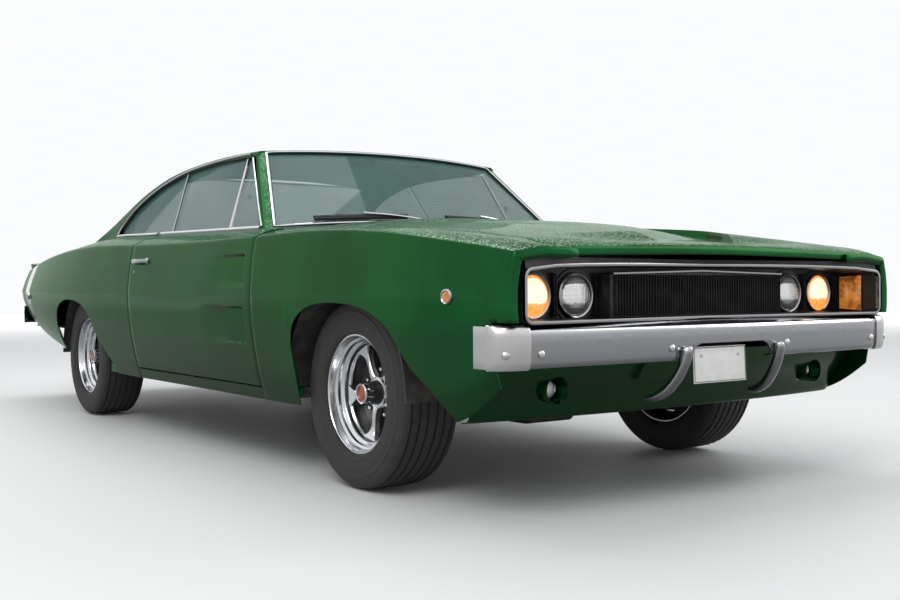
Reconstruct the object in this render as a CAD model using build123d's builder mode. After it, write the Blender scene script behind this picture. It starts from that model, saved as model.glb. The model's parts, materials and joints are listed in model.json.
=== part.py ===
from build123d import *
from collections import namedtuple
from math import radians, sin, sqrt
import os

# Full-size two-door fastback coupe in millimetres.
# Origin on the ground under the centre of the outline, nose towards -Y, +X is the driver's left.

os.makedirs("parts", exist_ok=True)

# Overall sizes
length = 5283
half_width = 974
height = 1351
wheelbase = 2972
front_overhang = 945
tyre_r = 332
tyre_half = 120
front_tuck = 98.5
rear_tuck = 102
front_track = 2 * (half_width - front_tuck - tyre_half)
rear_track = 2 * (half_width - rear_tuck - tyre_half)
nose_y = -length / 2
tail_y = length / 2
front_axle_y = nose_y + front_overhang
rear_axle_y = front_axle_y + wheelbase
rear_overhang = tail_y - rear_axle_y
cabin_y = front_axle_y + 1696.5

# Gaps and walls
panel_gap = 6
skin = 18
inner_sheet = 6
rest_gap = 0.5

# Body side, stations from nose to tail. The crease is the widest line of the side.
Station = namedtuple("Station", "y crease_x crease_z shoulder_x shoulder_z top_x top_z low_x low_z sill_x sill_z")
fender_front_y = nose_y + 26
door_front_y = front_axle_y + 610
door_rear_y = door_front_y + 1380
quarter_end_y = tail_y - 62


def widened(row):
    """A table row with its places across the car moved out with the body's half width."""
    moved = {name: getattr(row, name) + half_width - 974 for name in row._fields if name.endswith("_x")}
    return row._replace(**moved)


station_rows = [
    Station(fender_front_y, 900, 692, 878, 800, 688, 814, 890, 560, 872, 470),
    Station(front_axle_y - 655, 934, 692, 914, 840, 758, 862, 918, 480, 884, 300),
    Station(front_axle_y - 255, 954, 693, 930, 882, 760, 898, 938, 480, 900, 282),
    Station(front_axle_y + 195, 963, 693, 938, 908, 760, 924, 946, 480, 906, 272),
    Station(door_front_y, 968, 693, 943, 904, 762, 938, 950, 480, 905, 268),
    Station(door_front_y + 690, 964, 696, 937, 905, 812, 959, 948, 480, 900, 268),
    Station(door_rear_y, 968, 700, 934, 918, 806, 974, 950, 480, 900, 268),
    Station(rear_axle_y - 280, 974, 702, 930, 935, 792, 990, 952, 480, 900, 272),
    Station(rear_axle_y + 0.24 * rear_overhang, 962, 702, 905, 922, 760, 946, 934, 490, 880, 345),
    Station(rear_axle_y + 0.64 * rear_overhang, 926, 702, 868, 885, 742, 905, 890, 520, 850, 440),
    Station(quarter_end_y, 880, 702, 828, 840, 742, 872, 850, 585, 828, 525),
]
stations = [widened(row) for row in station_rows]

# Wheel openings, as offsets from the axle (rearwards positive) and heights
arch_rear = 318
arch_front = -440
arch_top = 652
arch_flare = -620

# Doors
door_inner_x = half_width - 199
door_bottom = 322
door_taper = 14
door_taper_x = half_width - 62
belt_front_z = 944
belt_rear_z = 974

# Door recesses: foot, head and depth of each, with its front end and its length along the door
Recess = namedtuple("Recess", "low_z high_z depth")
door_recesses = [Recess(712, 836, 11), Recess(484, 632, 11)]
recess_front_y = door_front_y + 70
recess_length = 420

# Greenhouse, stations from the cowl to the tail
Green = namedtuple("Green", "y belt_x belt_z edge_x edge_z crown_z")
roof_wall = 30
side_base_x = half_width - 163
side_slope = 0.437
greenhouse_rows = [
    Green(door_front_y + 30, 833, 900, 660, 1298, 1312),
    Green(front_axle_y + 1100, 833, 900, 653, 1312, 1338),
    Green(front_axle_y + 1500, 833, 900, 648, 1324, height),
    Green(front_axle_y + 1930, 833, 900, 652, 1312, height - 3),
    Green(front_axle_y + 2180, 833, 900, 664, 1286, 1332),
    Green(front_axle_y + 2400, 833, 900, 686, 1235, 1264),
    Green(front_axle_y + 2600, 833, 900, 720, 1160, 1182),
    Green(front_axle_y + 2800, 833, 900, 762, 1060, 1074),
    Green(rear_axle_y + 60, 812, 900, 782, 986, 992),
    Green(rear_axle_y + 0.22 * rear_overhang, 775, 880, 735, 953, 957),
]
greenhouse = [widened(row) for row in greenhouse_rows]
glass_base_y = cabin_y - 882
glass_base_z = 950
glass_top_y = cabin_y - 455
glass_top_z = 1318
glass_bulge = 95
glass_half_base = half_width - 207
glass_half_top = half_width - 366
glass_thick = 6
header_depth = 20

# Rear window between the sail panels
tunnel_half_top = half_width - 414
backlight_top_y = rear_axle_y - 745
backlight_top_z = 1322
backlight_base_y = rear_axle_y + 0.157 * rear_overhang
backlight_base_z = 945

# Lids
hood_front_y = nose_y + 42
hood_rear_y = door_front_y - 50
hood_thick = 22
hood_crown_front = 30
hood_crown_rear = 62
hood_shoulder_x = 430
deck_front_y = rear_axle_y + 0.224 * rear_overhang
deck_rear_y = quarter_end_y - 60
deck_thick = 22

# Floor and bays
floor_z = 300
floor_thick = 12
trunk_z = 470
firewall_y = cabin_y - 1010
firewall_thick = 12
rail_x = 430
rail_half = 35
rail_z = 380
rail_half_z = 48

# Cowl, pillar feet, tunnel and trunk floor
cowl_z = 913
cowl_thick = 12
cowl_half = half_width - 217
floor_half = door_inner_x - 40
post_depth = 32
pillar_foot_z = 958
tunnel_half = 150
tunnel_top_z = 455
riser_y = cabin_y + 760
trunk_half = half_width - 176
rear_wall_x = rear_track / 2 - tyre_half - 72

# Front structure
frame_front_y = nose_y + 240
support_y = nose_y + 245
support_top = 780
support_half = half_width - 274
radiator_half = 330

# Engine, gearbox and drive shaft
engine_y = front_axle_y + 125
engine_half = 280
engine_length = 760
engine_height = 500
gearbox_z = 372
gearbox_half = 95
gearbox_half_z = 58
gearbox_length = 640
shaft_front_y = engine_y + engine_length / 2 + gearbox_length
shaft_r = 36

# Suspension and axles
lower_arm_z = 240
upper_arm_z = 432
arm_thick = 16
post_half = 14
spindle_r = 20
spindle_end_x = front_track / 2 - 10.5
axle_r = 40
rear_spindle_x = rear_track / 2 - 62
differential_r = 125
differential_half = 150
leaf_x = rear_wall_x - 60
leaf_half = 32
leaf_thick = 18
leaf_front_y = riser_y + 30
leaf_rear_y = rear_axle_y + 0.51 * rear_overhang
leaf_end_z = 400
leaf_mid_z = 274

# Wheelhouses
liner_low_z = 334
front_liner_x = half_width - 59
rear_liner_x = half_width - 96

# Exhaust and fuel tank
exhaust_x = 330
exhaust_z = 232
exhaust_tip_z = 300
exhaust_r = 28
muffler_y = cabin_y - 350
muffler_length = 560
tank_y = rear_axle_y + 0.608 * rear_overhang
tank_half = 360
tank_length = 0.454 * rear_overhang
tank_depth = 130

# Apron and tail
valance_half = half_width - 106
valance_sweep = 60
valance_top_z = 492
tail_half = half_width - 94
tail_lamp_z = 700
tail_lamp_r = 78
tail_lamp_x = (330, 590)
deck_crown = 14
glass_inset = 6

# Grille and lamps
grille_y = nose_y + 200
grille_step_y = nose_y + 132
grille_low_z = 593
grille_high_z = 766
grille_half = half_width - 124
grille_step_half = 412
rib_pitch = 22
lamp_r = 73
lamp_z = 672
lamp_x = (grille_half - 333, grille_half - 159)
lamp_depth = 30
surround_front_y = nose_y + 42
surround_wall = 5
parking_x = valance_half - 247
parking_z = 385
parking_r = 36
parking_y = nose_y + 160
parking_depth = 60
marker_r = 22
marker_z = 672
marker_front_y = nose_y + 286
marker_rear_y = rear_axle_y + 0.776 * rear_overhang

# Bumpers and plates
bumper_wall = 5
bumper_clear = 8
bumper_clear_y = 104
bumper_high_z = 591
bumper_edge_z = 574
bumper_low_z = 464
plate_width = 255
plate_height = 130
plate_thick = 2
front_plate_x = -52
front_plate_z = 384
rear_plate_y = tail_y - 62
rear_plate_z = 418
front_plate_reach = 76
rear_plate_reach = 34
rear_bumper_low_z = 492
rear_bumper_high_z = 604
rear_bracket_length = 78

# Seats, dashboard, steering wheel and wipers
seat_x = 388
seat_half = 228
dash_half = half_width - 246
column_x = 370
column_y = cabin_y - 600
column_z = 845
column_tilt = 24
rim_ring_r = 195
rim_tube_r = 13
column_length = 260
wiper_x = (-560, 60)
wiper_length = 430
rear_seat_half = half_width - 434
door_glass_low_z = 925

# Guards, from the bumper face down and back under it
Guard = namedtuple("Guard", "x setback z half_w half_d")
guard_rows = [
    Guard(224, 12, 540, 21, 14),
    Guard(228, 14, 470, 21, 16),
    Guard(240, 52, 400, 20, 18),
    Guard(252, 120, 342, 18, 26),
]

# Wheels
rim_r = 190.5
rim_lip_r = 208
hub_z = tyre_r
steer_x = front_track / 2 - 55.5
rim_half = 98
rim_well_r = 172
bead_half = 92
drum_r = 138
drum_low = -34
drum_depth = 46
spoke_count = 5
spoke_mid_r = 110
spoke_hub_r = 60
spoke_width = 44
spoke_thick = 14
cap_r = 34
cap_height = 70
liner_r = 402


def station_at(y):
    """Station at any y, straight between the two nearest rows."""
    for low, high in zip(stations, stations[1:]):
        if y <= high.y or high is stations[-1]:
            part = (y - low.y) / (high.y - low.y)
            return Station(*(a + (b - a) * part for a, b in zip(low, high)))


def stations_between(front, rear):
    """Rows of the body side from one y to another, with rows cut at both ends."""
    inside = [s for s in stations if front + 1 < s.y < rear - 1]
    return [station_at(front), *inside, station_at(rear)]


def belt_at(y):
    """Foot of the door glass at any y: place across the car and height."""
    z = belt_front_z + (belt_rear_z - belt_front_z) * (y - door_front_y) / (door_rear_y - door_front_y)
    return side_base_x - side_slope * (z - glass_base_z) + glass_inset, z


def hood_crown_at(y):
    """Rise of the hood's middle over its side edges at any y."""
    part = (y - hood_front_y) / (hood_rear_y - hood_front_y)
    return hood_crown_front + (hood_crown_rear - hood_crown_front) * part


def cross_plane(y):
    """Plane across the car at y, sketch x is the car's X and sketch y its Z."""
    return Plane.XZ.offset(-y)


def save(piece, node):
    """Label a finished piece and write its file."""
    piece.part.label = node
    export_step(piece.part, f"parts/{node}.step")


def side_points(s, side, wall):
    """Closed outline of the side shell at a row: down the outer skin to the sill and back up inside."""
    mid_x = s.shoulder_x * 0.62 + s.top_x * 0.38
    mid_z = s.shoulder_z * 0.38 + s.top_z * 0.62
    outline = [
        (s.sill_x, s.sill_z),
        (s.low_x, s.low_z),
        (s.crease_x, s.crease_z),
        (s.shoulder_x, s.shoulder_z),
        (mid_x, mid_z),
        (s.top_x, s.top_z),
        (s.top_x, s.top_z - wall),
        (mid_x - wall / 2, mid_z - wall),
        (s.shoulder_x - wall, s.shoulder_z - wall),
        (s.crease_x - wall, s.crease_z),
        (s.low_x - wall, s.low_z),
        (s.sill_x - wall, s.sill_z),
    ]
    return [(side * x, z) for x, z in outline]


def arch_outline(axle_y):
    """Wheel opening seen from the side: flat top, upright rear edge, front edge flared forward."""
    rear = axle_y + arch_rear
    front = axle_y + arch_front
    flare = axle_y + arch_flare
    with BuildSketch(Plane.YZ) as opening:
        with BuildLine():
            Polyline((rear - 30, 0), (rear - 4, 300), (rear, 500))
            ThreePointArc((rear, 500), (rear - 60, 602), (rear - 170, arch_top - 10))
            ThreePointArc((rear - 170, arch_top - 10), (axle_y - 30, arch_top), (axle_y - 205, arch_top - 18))
            ThreePointArc((axle_y - 205, arch_top - 18), (axle_y - 340, arch_top - 78), (front, 470))
            ThreePointArc((front, 470), (front - 50, 390), (flare, 320))
            Polyline((flare, 320), (flare - 20, 0), (rear - 30, 0))
        make_face()
    return opening.sketch


# Front fenders
fenders = {}
for side_name, side in (("right", -1), ("left", 1)):
    with BuildPart() as front_fender:
        for s in stations_between(fender_front_y, door_front_y - panel_gap / 2):
            with BuildSketch(cross_plane(s.y)):
                with BuildLine():
                    Polyline(*side_points(s, side, skin), close=True)
                make_face()
        loft(ruled=True)
        add(arch_outline(front_axle_y))
        extrude(amount=half_width + 50, dir=(side, 0, 0), mode=Mode.SUBTRACT)
        with BuildSketch(Plane.YZ):
            with Locations((nose_y, (bumper_high_z + bumper_low_z) / 2)):
                Rectangle(2 * bumper_clear_y, bumper_high_z - bumper_low_z + 2 * bumper_clear)
        extrude(amount=half_width + 50, dir=(side, 0, 0), mode=Mode.SUBTRACT)
    fenders[side] = front_fender.part
    save(front_fender, f"front_fender_{side_name}")

# Quarter panels
quarters = {}
for side_name, side in (("right", -1), ("left", 1)):
    with BuildPart() as quarter_panel:
        for s in stations_between(door_rear_y + panel_gap / 2, quarter_end_y):
            with BuildSketch(cross_plane(s.y)):
                with BuildLine():
                    Polyline(*side_points(s, side, skin), close=True)
                make_face()
        loft(ruled=True)
        add(arch_outline(rear_axle_y))
        extrude(amount=half_width + 50, dir=(side, 0, 0), mode=Mode.SUBTRACT)
    quarters[side] = quarter_panel.part
    save(quarter_panel, f"quarter_panel_{side_name}")

# Sill boxes under the doors, and on to the rear wheels inside the quarter panels
with BuildPart() as rocker_panels:
    sill_top = door_bottom - panel_gap
    sill_end_y = rear_axle_y + arch_front - 30
    for side in (-1, 1):
        for front, rear, wall in (
            (door_front_y - panel_gap / 2, door_rear_y + panel_gap / 2, 0),
            (door_rear_y + panel_gap / 2, sill_end_y, skin),
        ):
            for s in stations_between(front, rear):
                slope = (s.low_x - s.sill_x) / (s.low_z - s.sill_z)
                with BuildSketch(cross_plane(s.y)):
                    with BuildLine():
                        Polyline(
                            (side * (s.sill_x - wall), s.sill_z),
                            (side * (s.sill_x - wall + slope * (sill_top - s.sill_z)), sill_top),
                            (side * (door_inner_x - 40), sill_top),
                            (side * (door_inner_x - 40), s.sill_z),
                            close=True,
                        )
                    make_face()
            loft(ruled=True)
save(rocker_panels, "rocker_panels")

# Doors, full wall thickness up to the belt
doors = {}
for side_name, side in (("right", -1), ("left", 1)):
    with BuildPart() as door:
        for s in stations_between(door_front_y + panel_gap / 2, door_rear_y - panel_gap / 2):
            slope = (s.low_x - s.sill_x) / (s.low_z - s.sill_z)
            belt_x, belt_z = belt_at(s.y)
            with BuildSketch(cross_plane(s.y)):
                with BuildLine():
                    Polyline(
                        (side * (s.sill_x + slope * (door_bottom - s.sill_z)), door_bottom),
                        (side * s.low_x, s.low_z),
                        (side * s.crease_x, s.crease_z),
                        (side * s.shoulder_x, s.shoulder_z),
                        (side * (s.shoulder_x * 0.62 + belt_x * 0.38), s.shoulder_z * 0.38 + belt_z * 0.62),
                        (side * belt_x, belt_z),
                        (side * door_inner_x, belt_z),
                        (side * door_inner_x, door_bottom),
                        close=True,
                    )
                make_face()
        loft(ruled=True)
        # Rear end tapers inwards, so that it swings clear of the quarter panel
        with BuildSketch(Plane.XY.offset(door_bottom)):
            with BuildLine():
                Polyline(
                    (side * door_taper_x, door_rear_y - panel_gap / 2),
                    (side * door_inner_x, door_rear_y - panel_gap / 2 - door_taper),
                    (side * door_inner_x, door_rear_y),
                    (side * door_taper_x, door_rear_y),
                    close=True,
                )
            make_face()
        extrude(amount=height - door_bottom, mode=Mode.SUBTRACT)
        # Room for the foot of the windshield pillar
        with BuildSketch(Plane.XY.offset(cowl_z - panel_gap)):
            with Locations((side * (side_base_x + panel_gap - 50), door_front_y)):
                Rectangle(100, 2 * (glass_base_y + 40 - door_front_y))
        extrude(amount=100, mode=Mode.SUBTRACT)
        # Two recesses that start sharply near the front edge and fade out rearwards
        for recess in door_recesses:
            s = station_at(recess_front_y)
            foot_x, foot_z, head_x, head_z = s.crease_x, s.crease_z, s.shoulder_x, s.shoulder_z
            if recess.high_z < s.crease_z:
                foot_x, foot_z, head_x, head_z = s.low_x, s.low_z, s.crease_x, s.crease_z
            tilt = (head_x - foot_x) / (head_z - foot_z)
            skin_x = foot_x + tilt * (recess.low_z - foot_z)
            recess_plane = Plane(
                origin=(side * skin_x, recess_front_y, recess.low_z), x_dir=(0, 1, 0), z_dir=(side * tilt, 0, 1)
            )
            with BuildSketch(recess_plane):
                with BuildLine():
                    Polyline(
                        (0, side * recess.depth),
                        (recess_length, 0),
                        (recess_length, -side * recess.depth),
                        (0, -side * recess.depth),
                        close=True,
                    )
                make_face()
            extrude(amount=recess.high_z - recess.low_z, mode=Mode.SUBTRACT)
    doors[side] = door.part
    save(door, f"door_{side_name}")

# Windshield frame: the glass is a slanted cylinder, higher in the middle
run = glass_top_y - glass_base_y
rise = glass_top_z - glass_base_z
slant = sqrt(run**2 + rise**2)
along = (0, run / slant, rise / slant)
out_of_glass = (0, -rise / slant, run / slant)
glass_section = Plane(origin=(0, glass_base_y, glass_base_z), x_dir=(1, 0, 0), z_dir=along)
glass_face = Plane(origin=(0, glass_base_y, glass_base_z), x_dir=(1, 0, 0), z_dir=out_of_glass)
chord_half = glass_half_base + 60


def glass_band(outer, inner):
    """Curved band across the windshield between two depths, sketch y points inwards."""
    with BuildSketch(glass_section) as band:
        with BuildLine():
            ThreePointArc((-chord_half, outer), (0, outer - glass_bulge), (chord_half, outer))
            Line((chord_half, outer), (chord_half, inner))
            ThreePointArc((chord_half, inner), (0, inner - glass_bulge), (-chord_half, inner))
            Line((-chord_half, inner), (-chord_half, outer))
        make_face()
    return band.sketch


# Outline of the side window, offsets from the middle of the cabin and heights
side_window_outline = [
    (-1106, 880),
    (-877, 955),
    (-480, 1288),
    (-458, 1297),
    (-118, 1302),
    (286, 1283),
    (558, 1231),
    (805, 1137),
    (925, 1021),
    (925, 1000),
    (885, 985),
    (885, 880),
]
side_window = [(cabin_y + y, z) for y, z in side_window_outline]

# Outer volume of the greenhouse, and the same one header lower along the glass
with BuildPart() as greenhouse_body:
    for g in greenhouse:
        with BuildSketch(cross_plane(g.y)):
            with BuildLine():
                Polyline((g.edge_x, g.edge_z), (g.belt_x, g.belt_z), (-g.belt_x, g.belt_z), (-g.edge_x, g.edge_z))
                ThreePointArc((-g.edge_x, g.edge_z), (0, g.crown_z), (g.edge_x, g.edge_z))
            make_face()
    loft(ruled=True)
below_header = greenhouse_body.part.moved(Location((0, -along[1] * header_depth, -along[2] * header_depth)))

# Windshield opening: between the pillars and under the header
with BuildPart() as windshield_opening:
    with BuildSketch(glass_face.offset(-300)):
        with BuildLine():
            Polyline(
                (-glass_half_base, -60),
                (glass_half_base, -60),
                (glass_half_top, slant),
                (-glass_half_top, slant),
                close=True,
            )
        make_face()
    extrude(amount=700)
    add(below_header, mode=Mode.INTERSECT)

# Roof with windshield pillars and sail panels in one piece
with BuildPart() as roof_panel:
    add(greenhouse_body.part)
    with BuildPart(mode=Mode.PRIVATE) as cabin_air:
        for g in greenhouse:
            inner_x = g.edge_x - roof_wall
            inner_z = g.edge_z - roof_wall
            with BuildSketch(cross_plane(g.y)):
                with BuildLine():
                    Polyline(
                        (inner_x, inner_z),
                        (g.belt_x - roof_wall, g.belt_z - 20),
                        (roof_wall - g.belt_x, g.belt_z - 20),
                        (-inner_x, inner_z),
                    )
                    ThreePointArc((-inner_x, inner_z), (0, g.crown_z - roof_wall), (inner_x, inner_z))
                make_face()
        loft(ruled=True)
    add(cabin_air.part, mode=Mode.SUBTRACT)
    for side in (-1, 1):
        with BuildSketch(Plane.XY.offset(cowl_z + cowl_thick)):
            pad_front_y = door_front_y + panel_gap
            pad_rear_y = glass_base_y + 20
            with Locations((side * (floor_half + side_base_x) / 2, (pad_front_y + pad_rear_y) / 2)):
                Rectangle(side_base_x - floor_half, pad_rear_y - pad_front_y)
        extrude(amount=pillar_foot_z - cowl_z - cowl_thick)
        with BuildSketch(Plane.XY.offset(cowl_z - 40)):
            with Locations((side * (side_base_x + 50), firewall_y)):
                Rectangle(100, 400)
        extrude(amount=glass_base_z - cowl_z + 40, mode=Mode.SUBTRACT)
    add(glass_band(-900, 0))
    extrude(amount=1500, both=True, dir=along, mode=Mode.SUBTRACT)
    add(windshield_opening.part, mode=Mode.SUBTRACT)
    with BuildSketch(Plane.YZ):
        with BuildLine():
            Polyline(*side_window, close=True)
        make_face()
    extrude(amount=1000, both=True, mode=Mode.SUBTRACT)
    with BuildSketch(Plane.YZ):
        with BuildLine():
            Polyline(
                (backlight_top_y, 1500),
                (backlight_top_y, backlight_top_z - roof_wall - 60),
                (backlight_base_y, 700),
                (greenhouse[-1].y + 10, 700),
                (greenhouse[-1].y + 10, 1500),
                close=True,
            )
        make_face()
    extrude(amount=tunnel_half_top, both=True, mode=Mode.SUBTRACT)
    for side in (-1, 1):
        with BuildPart(mode=Mode.PRIVATE) as sail_wall:
            for g in greenhouse[4:]:
                wall_top = g.edge_z + (g.crown_z - g.edge_z) * 0.5
                with BuildSketch(cross_plane(g.y)):
                    with BuildLine():
                        Polyline(
                            (side * tunnel_half_top, g.belt_z),
                            (side * tunnel_half_top, wall_top),
                            (side * (tunnel_half_top + roof_wall), wall_top),
                            (side * (tunnel_half_top + roof_wall), g.belt_z),
                            close=True,
                        )
                    make_face()
            loft(ruled=True)
        add(sail_wall.part)
    with BuildPart(mode=Mode.PRIVATE) as upper_deck:
        for y in (backlight_base_y + 2, deck_front_y - panel_gap):
            s = station_at(y)
            with BuildSketch(cross_plane(y)):
                with Locations((0, s.top_z - 4 - deck_thick / 2)):
                    Rectangle(2 * s.top_x, deck_thick)
        loft(ruled=True)
    add(upper_deck.part)
    for side in (-1, 1):
        add(fenders[side], mode=Mode.SUBTRACT)
        add(quarters[side], mode=Mode.SUBTRACT)
save(roof_panel, "roof_panel")

# Windshield
with BuildPart() as windshield:
    add(glass_band(glass_inset, glass_inset + glass_thick))
    extrude(amount=1000, both=True, dir=along)
    add(windshield_opening.part, mode=Mode.INTERSECT)
    add(roof_panel.part, mode=Mode.SUBTRACT)
    with BuildSketch(Plane.XY.offset(cowl_z + cowl_thick)):
        Rectangle(2 * half_width, 3000)
    extrude(amount=-400, mode=Mode.SUBTRACT)
save(windshield, "windshield")

# Rear window, flat between the sail panels
with BuildPart() as rear_window:
    with BuildSketch(Plane.YZ):
        with BuildLine():
            Polyline(
                (backlight_top_y, backlight_top_z - roof_wall),
                (backlight_base_y, backlight_base_z),
                (backlight_base_y, backlight_base_z - glass_thick),
                (backlight_top_y, backlight_top_z - roof_wall - glass_thick),
                close=True,
            )
        make_face()
    extrude(amount=tunnel_half_top, both=True)
    add(roof_panel.part, mode=Mode.SUBTRACT)
save(rear_window, "rear_window")

# Hood, crowned across its width, with two long scallops that deepen rearwards
Scallop = namedtuple("Scallop", "y inner_x outer_x depth")
scallops = [
    Scallop(front_axle_y - 645, 324, 340, 1),
    Scallop(front_axle_y - 190, 292, 420, 12),
    Scallop(front_axle_y + 230, 262, 430, 14),
]
with BuildPart() as hood:
    for s in stations_between(hood_front_y, hood_rear_y):
        edge_x = s.top_x - panel_gap
        crown = hood_crown_at(s.y)
        outline = [(edge_x, s.top_z - 2), (hood_shoulder_x, s.top_z + crown * 0.72), (0, s.top_z + crown)]
        outline += [(-x, z) for x, z in reversed(outline[:2])]
        with BuildSketch(cross_plane(s.y)):
            with BuildLine():
                Polyline(*outline, *[(x, z - hood_thick) for x, z in reversed(outline)], close=True)
            make_face()
    loft(ruled=True)
    for side in (-1, 1):
        for row in scallops:
            surface_z = station_at(row.y).top_z + hood_crown_at(row.y) * 0.8
            with BuildSketch(cross_plane(row.y)):
                with BuildLine():
                    Polyline(
                        (side * row.inner_x, surface_z - row.depth),
                        (side * row.outer_x, surface_z - row.depth - 4),
                        (side * row.outer_x, surface_z + hood_thick),
                        (side * row.inner_x, surface_z + hood_thick),
                        close=True,
                    )
                make_face()
        loft(ruled=True, mode=Mode.SUBTRACT)
save(hood, "hood")

# Deck lid
with BuildPart() as deck_lid:
    for s in stations_between(deck_front_y, deck_rear_y):
        edge_x = s.top_x - panel_gap
        with BuildSketch(cross_plane(s.y)):
            with BuildLine():
                Polyline(
                    (edge_x, s.top_z - 4),
                    (0, s.top_z + deck_crown),
                    (-edge_x, s.top_z - 4),
                    (-edge_x, s.top_z - 4 - deck_thick),
                    (0, s.top_z + deck_crown - deck_thick),
                    (edge_x, s.top_z - 4 - deck_thick),
                    close=True,
                )
            make_face()
    loft(ruled=True)
save(deck_lid, "deck_lid")

# Tail: lip above, lamp panel and apron below
with BuildPart() as tail_panel:
    with BuildSketch(Plane.YZ):
        with BuildLine():
            Polyline(
                (deck_rear_y + panel_gap, 868),
                (quarter_end_y + 22, 878),
                (quarter_end_y + 26, 862),
                (quarter_end_y - 8, 780),
                (quarter_end_y - 10, 600),
                (quarter_end_y - 30, 430),
                (quarter_end_y - 42, 430),
                (quarter_end_y - 24, 600),
                (quarter_end_y - 22, 780),
                (quarter_end_y - 22, 846),
                (deck_rear_y + panel_gap, 846),
                close=True,
            )
        make_face()
    extrude(amount=tail_half, both=True)
    tail = stations[-1]
    with BuildSketch(cross_plane(deck_rear_y)):
        with BuildLine():
            Polyline(
                (-tail.low_x, 400),
                (-tail.low_x, tail.low_z),
                (-tail.crease_x, tail.crease_z),
                (-tail.shoulder_x, tail.shoulder_z + 6),
                (20 - tail.shoulder_x, 900),
                (tail.shoulder_x - 20, 900),
                (tail.shoulder_x, tail.shoulder_z + 6),
                (tail.crease_x, tail.crease_z),
                (tail.low_x, tail.low_z),
                (tail.low_x, 400),
                close=True,
            )
        make_face()
    extrude(amount=300, dir=(0, 1, 0), mode=Mode.INTERSECT)
    for side in (-1, 1):
        add(quarters[side], mode=Mode.SUBTRACT)
save(tail_panel, "tail_panel")

# Tail lamps, four round lenses
with BuildPart() as tail_lamps:
    with BuildSketch(Plane.XZ.offset(-(quarter_end_y - 8))):
        with Locations(*[(side * x, tail_lamp_z) for side in (-1, 1) for x in tail_lamp_x]):
            Circle(tail_lamp_r)
    extrude(amount=-18)
    add(tail_panel.part, mode=Mode.SUBTRACT)
save(tail_lamps, "tail_lamps")

# Cabin floor with tunnel, riser, trunk floor and firewall in one piece
with BuildPart() as floor_pan:
    with BuildSketch(cross_plane(firewall_y)):
        with BuildLine():
            Polyline(
                (-floor_half, floor_z),
                (-tunnel_half, floor_z),
                (-tunnel_half + 40, tunnel_top_z),
                (tunnel_half - 40, tunnel_top_z),
                (tunnel_half, floor_z),
                (floor_half, floor_z),
                (floor_half, floor_z + floor_thick),
                (tunnel_half + 9, floor_z + floor_thick),
                (tunnel_half - 31, tunnel_top_z + floor_thick),
                (31 - tunnel_half, tunnel_top_z + floor_thick),
                (-tunnel_half - 9, floor_z + floor_thick),
                (-floor_half, floor_z + floor_thick),
                close=True,
            )
        make_face()
    extrude(amount=riser_y - firewall_y, dir=(0, 1, 0))
    for wall_y, wall_bottom, wall_top in (
        (firewall_y - firewall_thick, floor_z, cowl_z),
        (riser_y, floor_z, trunk_z + floor_thick),
    ):
        with BuildSketch(cross_plane(wall_y)):
            with BuildLine():
                Polyline(
                    (-floor_half, wall_bottom),
                    (-tunnel_half, wall_bottom),
                    (-tunnel_half + 40, tunnel_top_z),
                    (tunnel_half - 40, tunnel_top_z),
                    (tunnel_half, wall_bottom),
                    (floor_half, wall_bottom),
                    (floor_half, wall_top),
                    (-floor_half, wall_top),
                    close=True,
                )
            make_face()
        extrude(amount=firewall_thick, dir=(0, 1, 0))
    with BuildSketch(Plane.XY.offset(cowl_z)):
        with BuildLine():
            Polyline(
                (-cowl_half, hood_rear_y + panel_gap),
                (cowl_half, hood_rear_y + panel_gap),
                (cowl_half, glass_base_y + 20),
                (-cowl_half, glass_base_y + 20),
                close=True,
            )
        make_face()
    extrude(amount=cowl_thick)
    with BuildSketch(Plane.XY.offset(door_bottom - panel_gap)):
        for side in (-1, 1):
            with Locations((side * (floor_half + post_depth / 2), firewall_y - 20)):
                Rectangle(post_depth, 80)
    extrude(amount=cowl_z + cowl_thick - door_bottom + panel_gap)
    with BuildSketch(Plane.XY.offset(trunk_z)):
        with BuildLine():
            Polyline(
                (-trunk_half, riser_y + firewall_thick),
                (trunk_half, riser_y + firewall_thick),
                (trunk_half, quarter_end_y - 42),
                (-trunk_half, quarter_end_y - 42),
                close=True,
            )
        make_face()
    extrude(amount=floor_thick)
    with BuildSketch(Plane.XY.offset(trunk_z - 10)):
        for side in (-1, 1):
            with Locations((side * (rear_wall_x + 300), rear_axle_y)):
                Rectangle(600, 2 * (liner_r + inner_sheet))
    extrude(amount=60, mode=Mode.SUBTRACT)
    for side in (-1, 1):
        add(quarters[side], mode=Mode.SUBTRACT)
        add(fenders[side], mode=Mode.SUBTRACT)
    add(tail_panel.part, mode=Mode.SUBTRACT)
    add(roof_panel.part, mode=Mode.SUBTRACT)
    add(windshield.part, mode=Mode.SUBTRACT)
save(floor_pan, "floor_pan")

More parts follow.
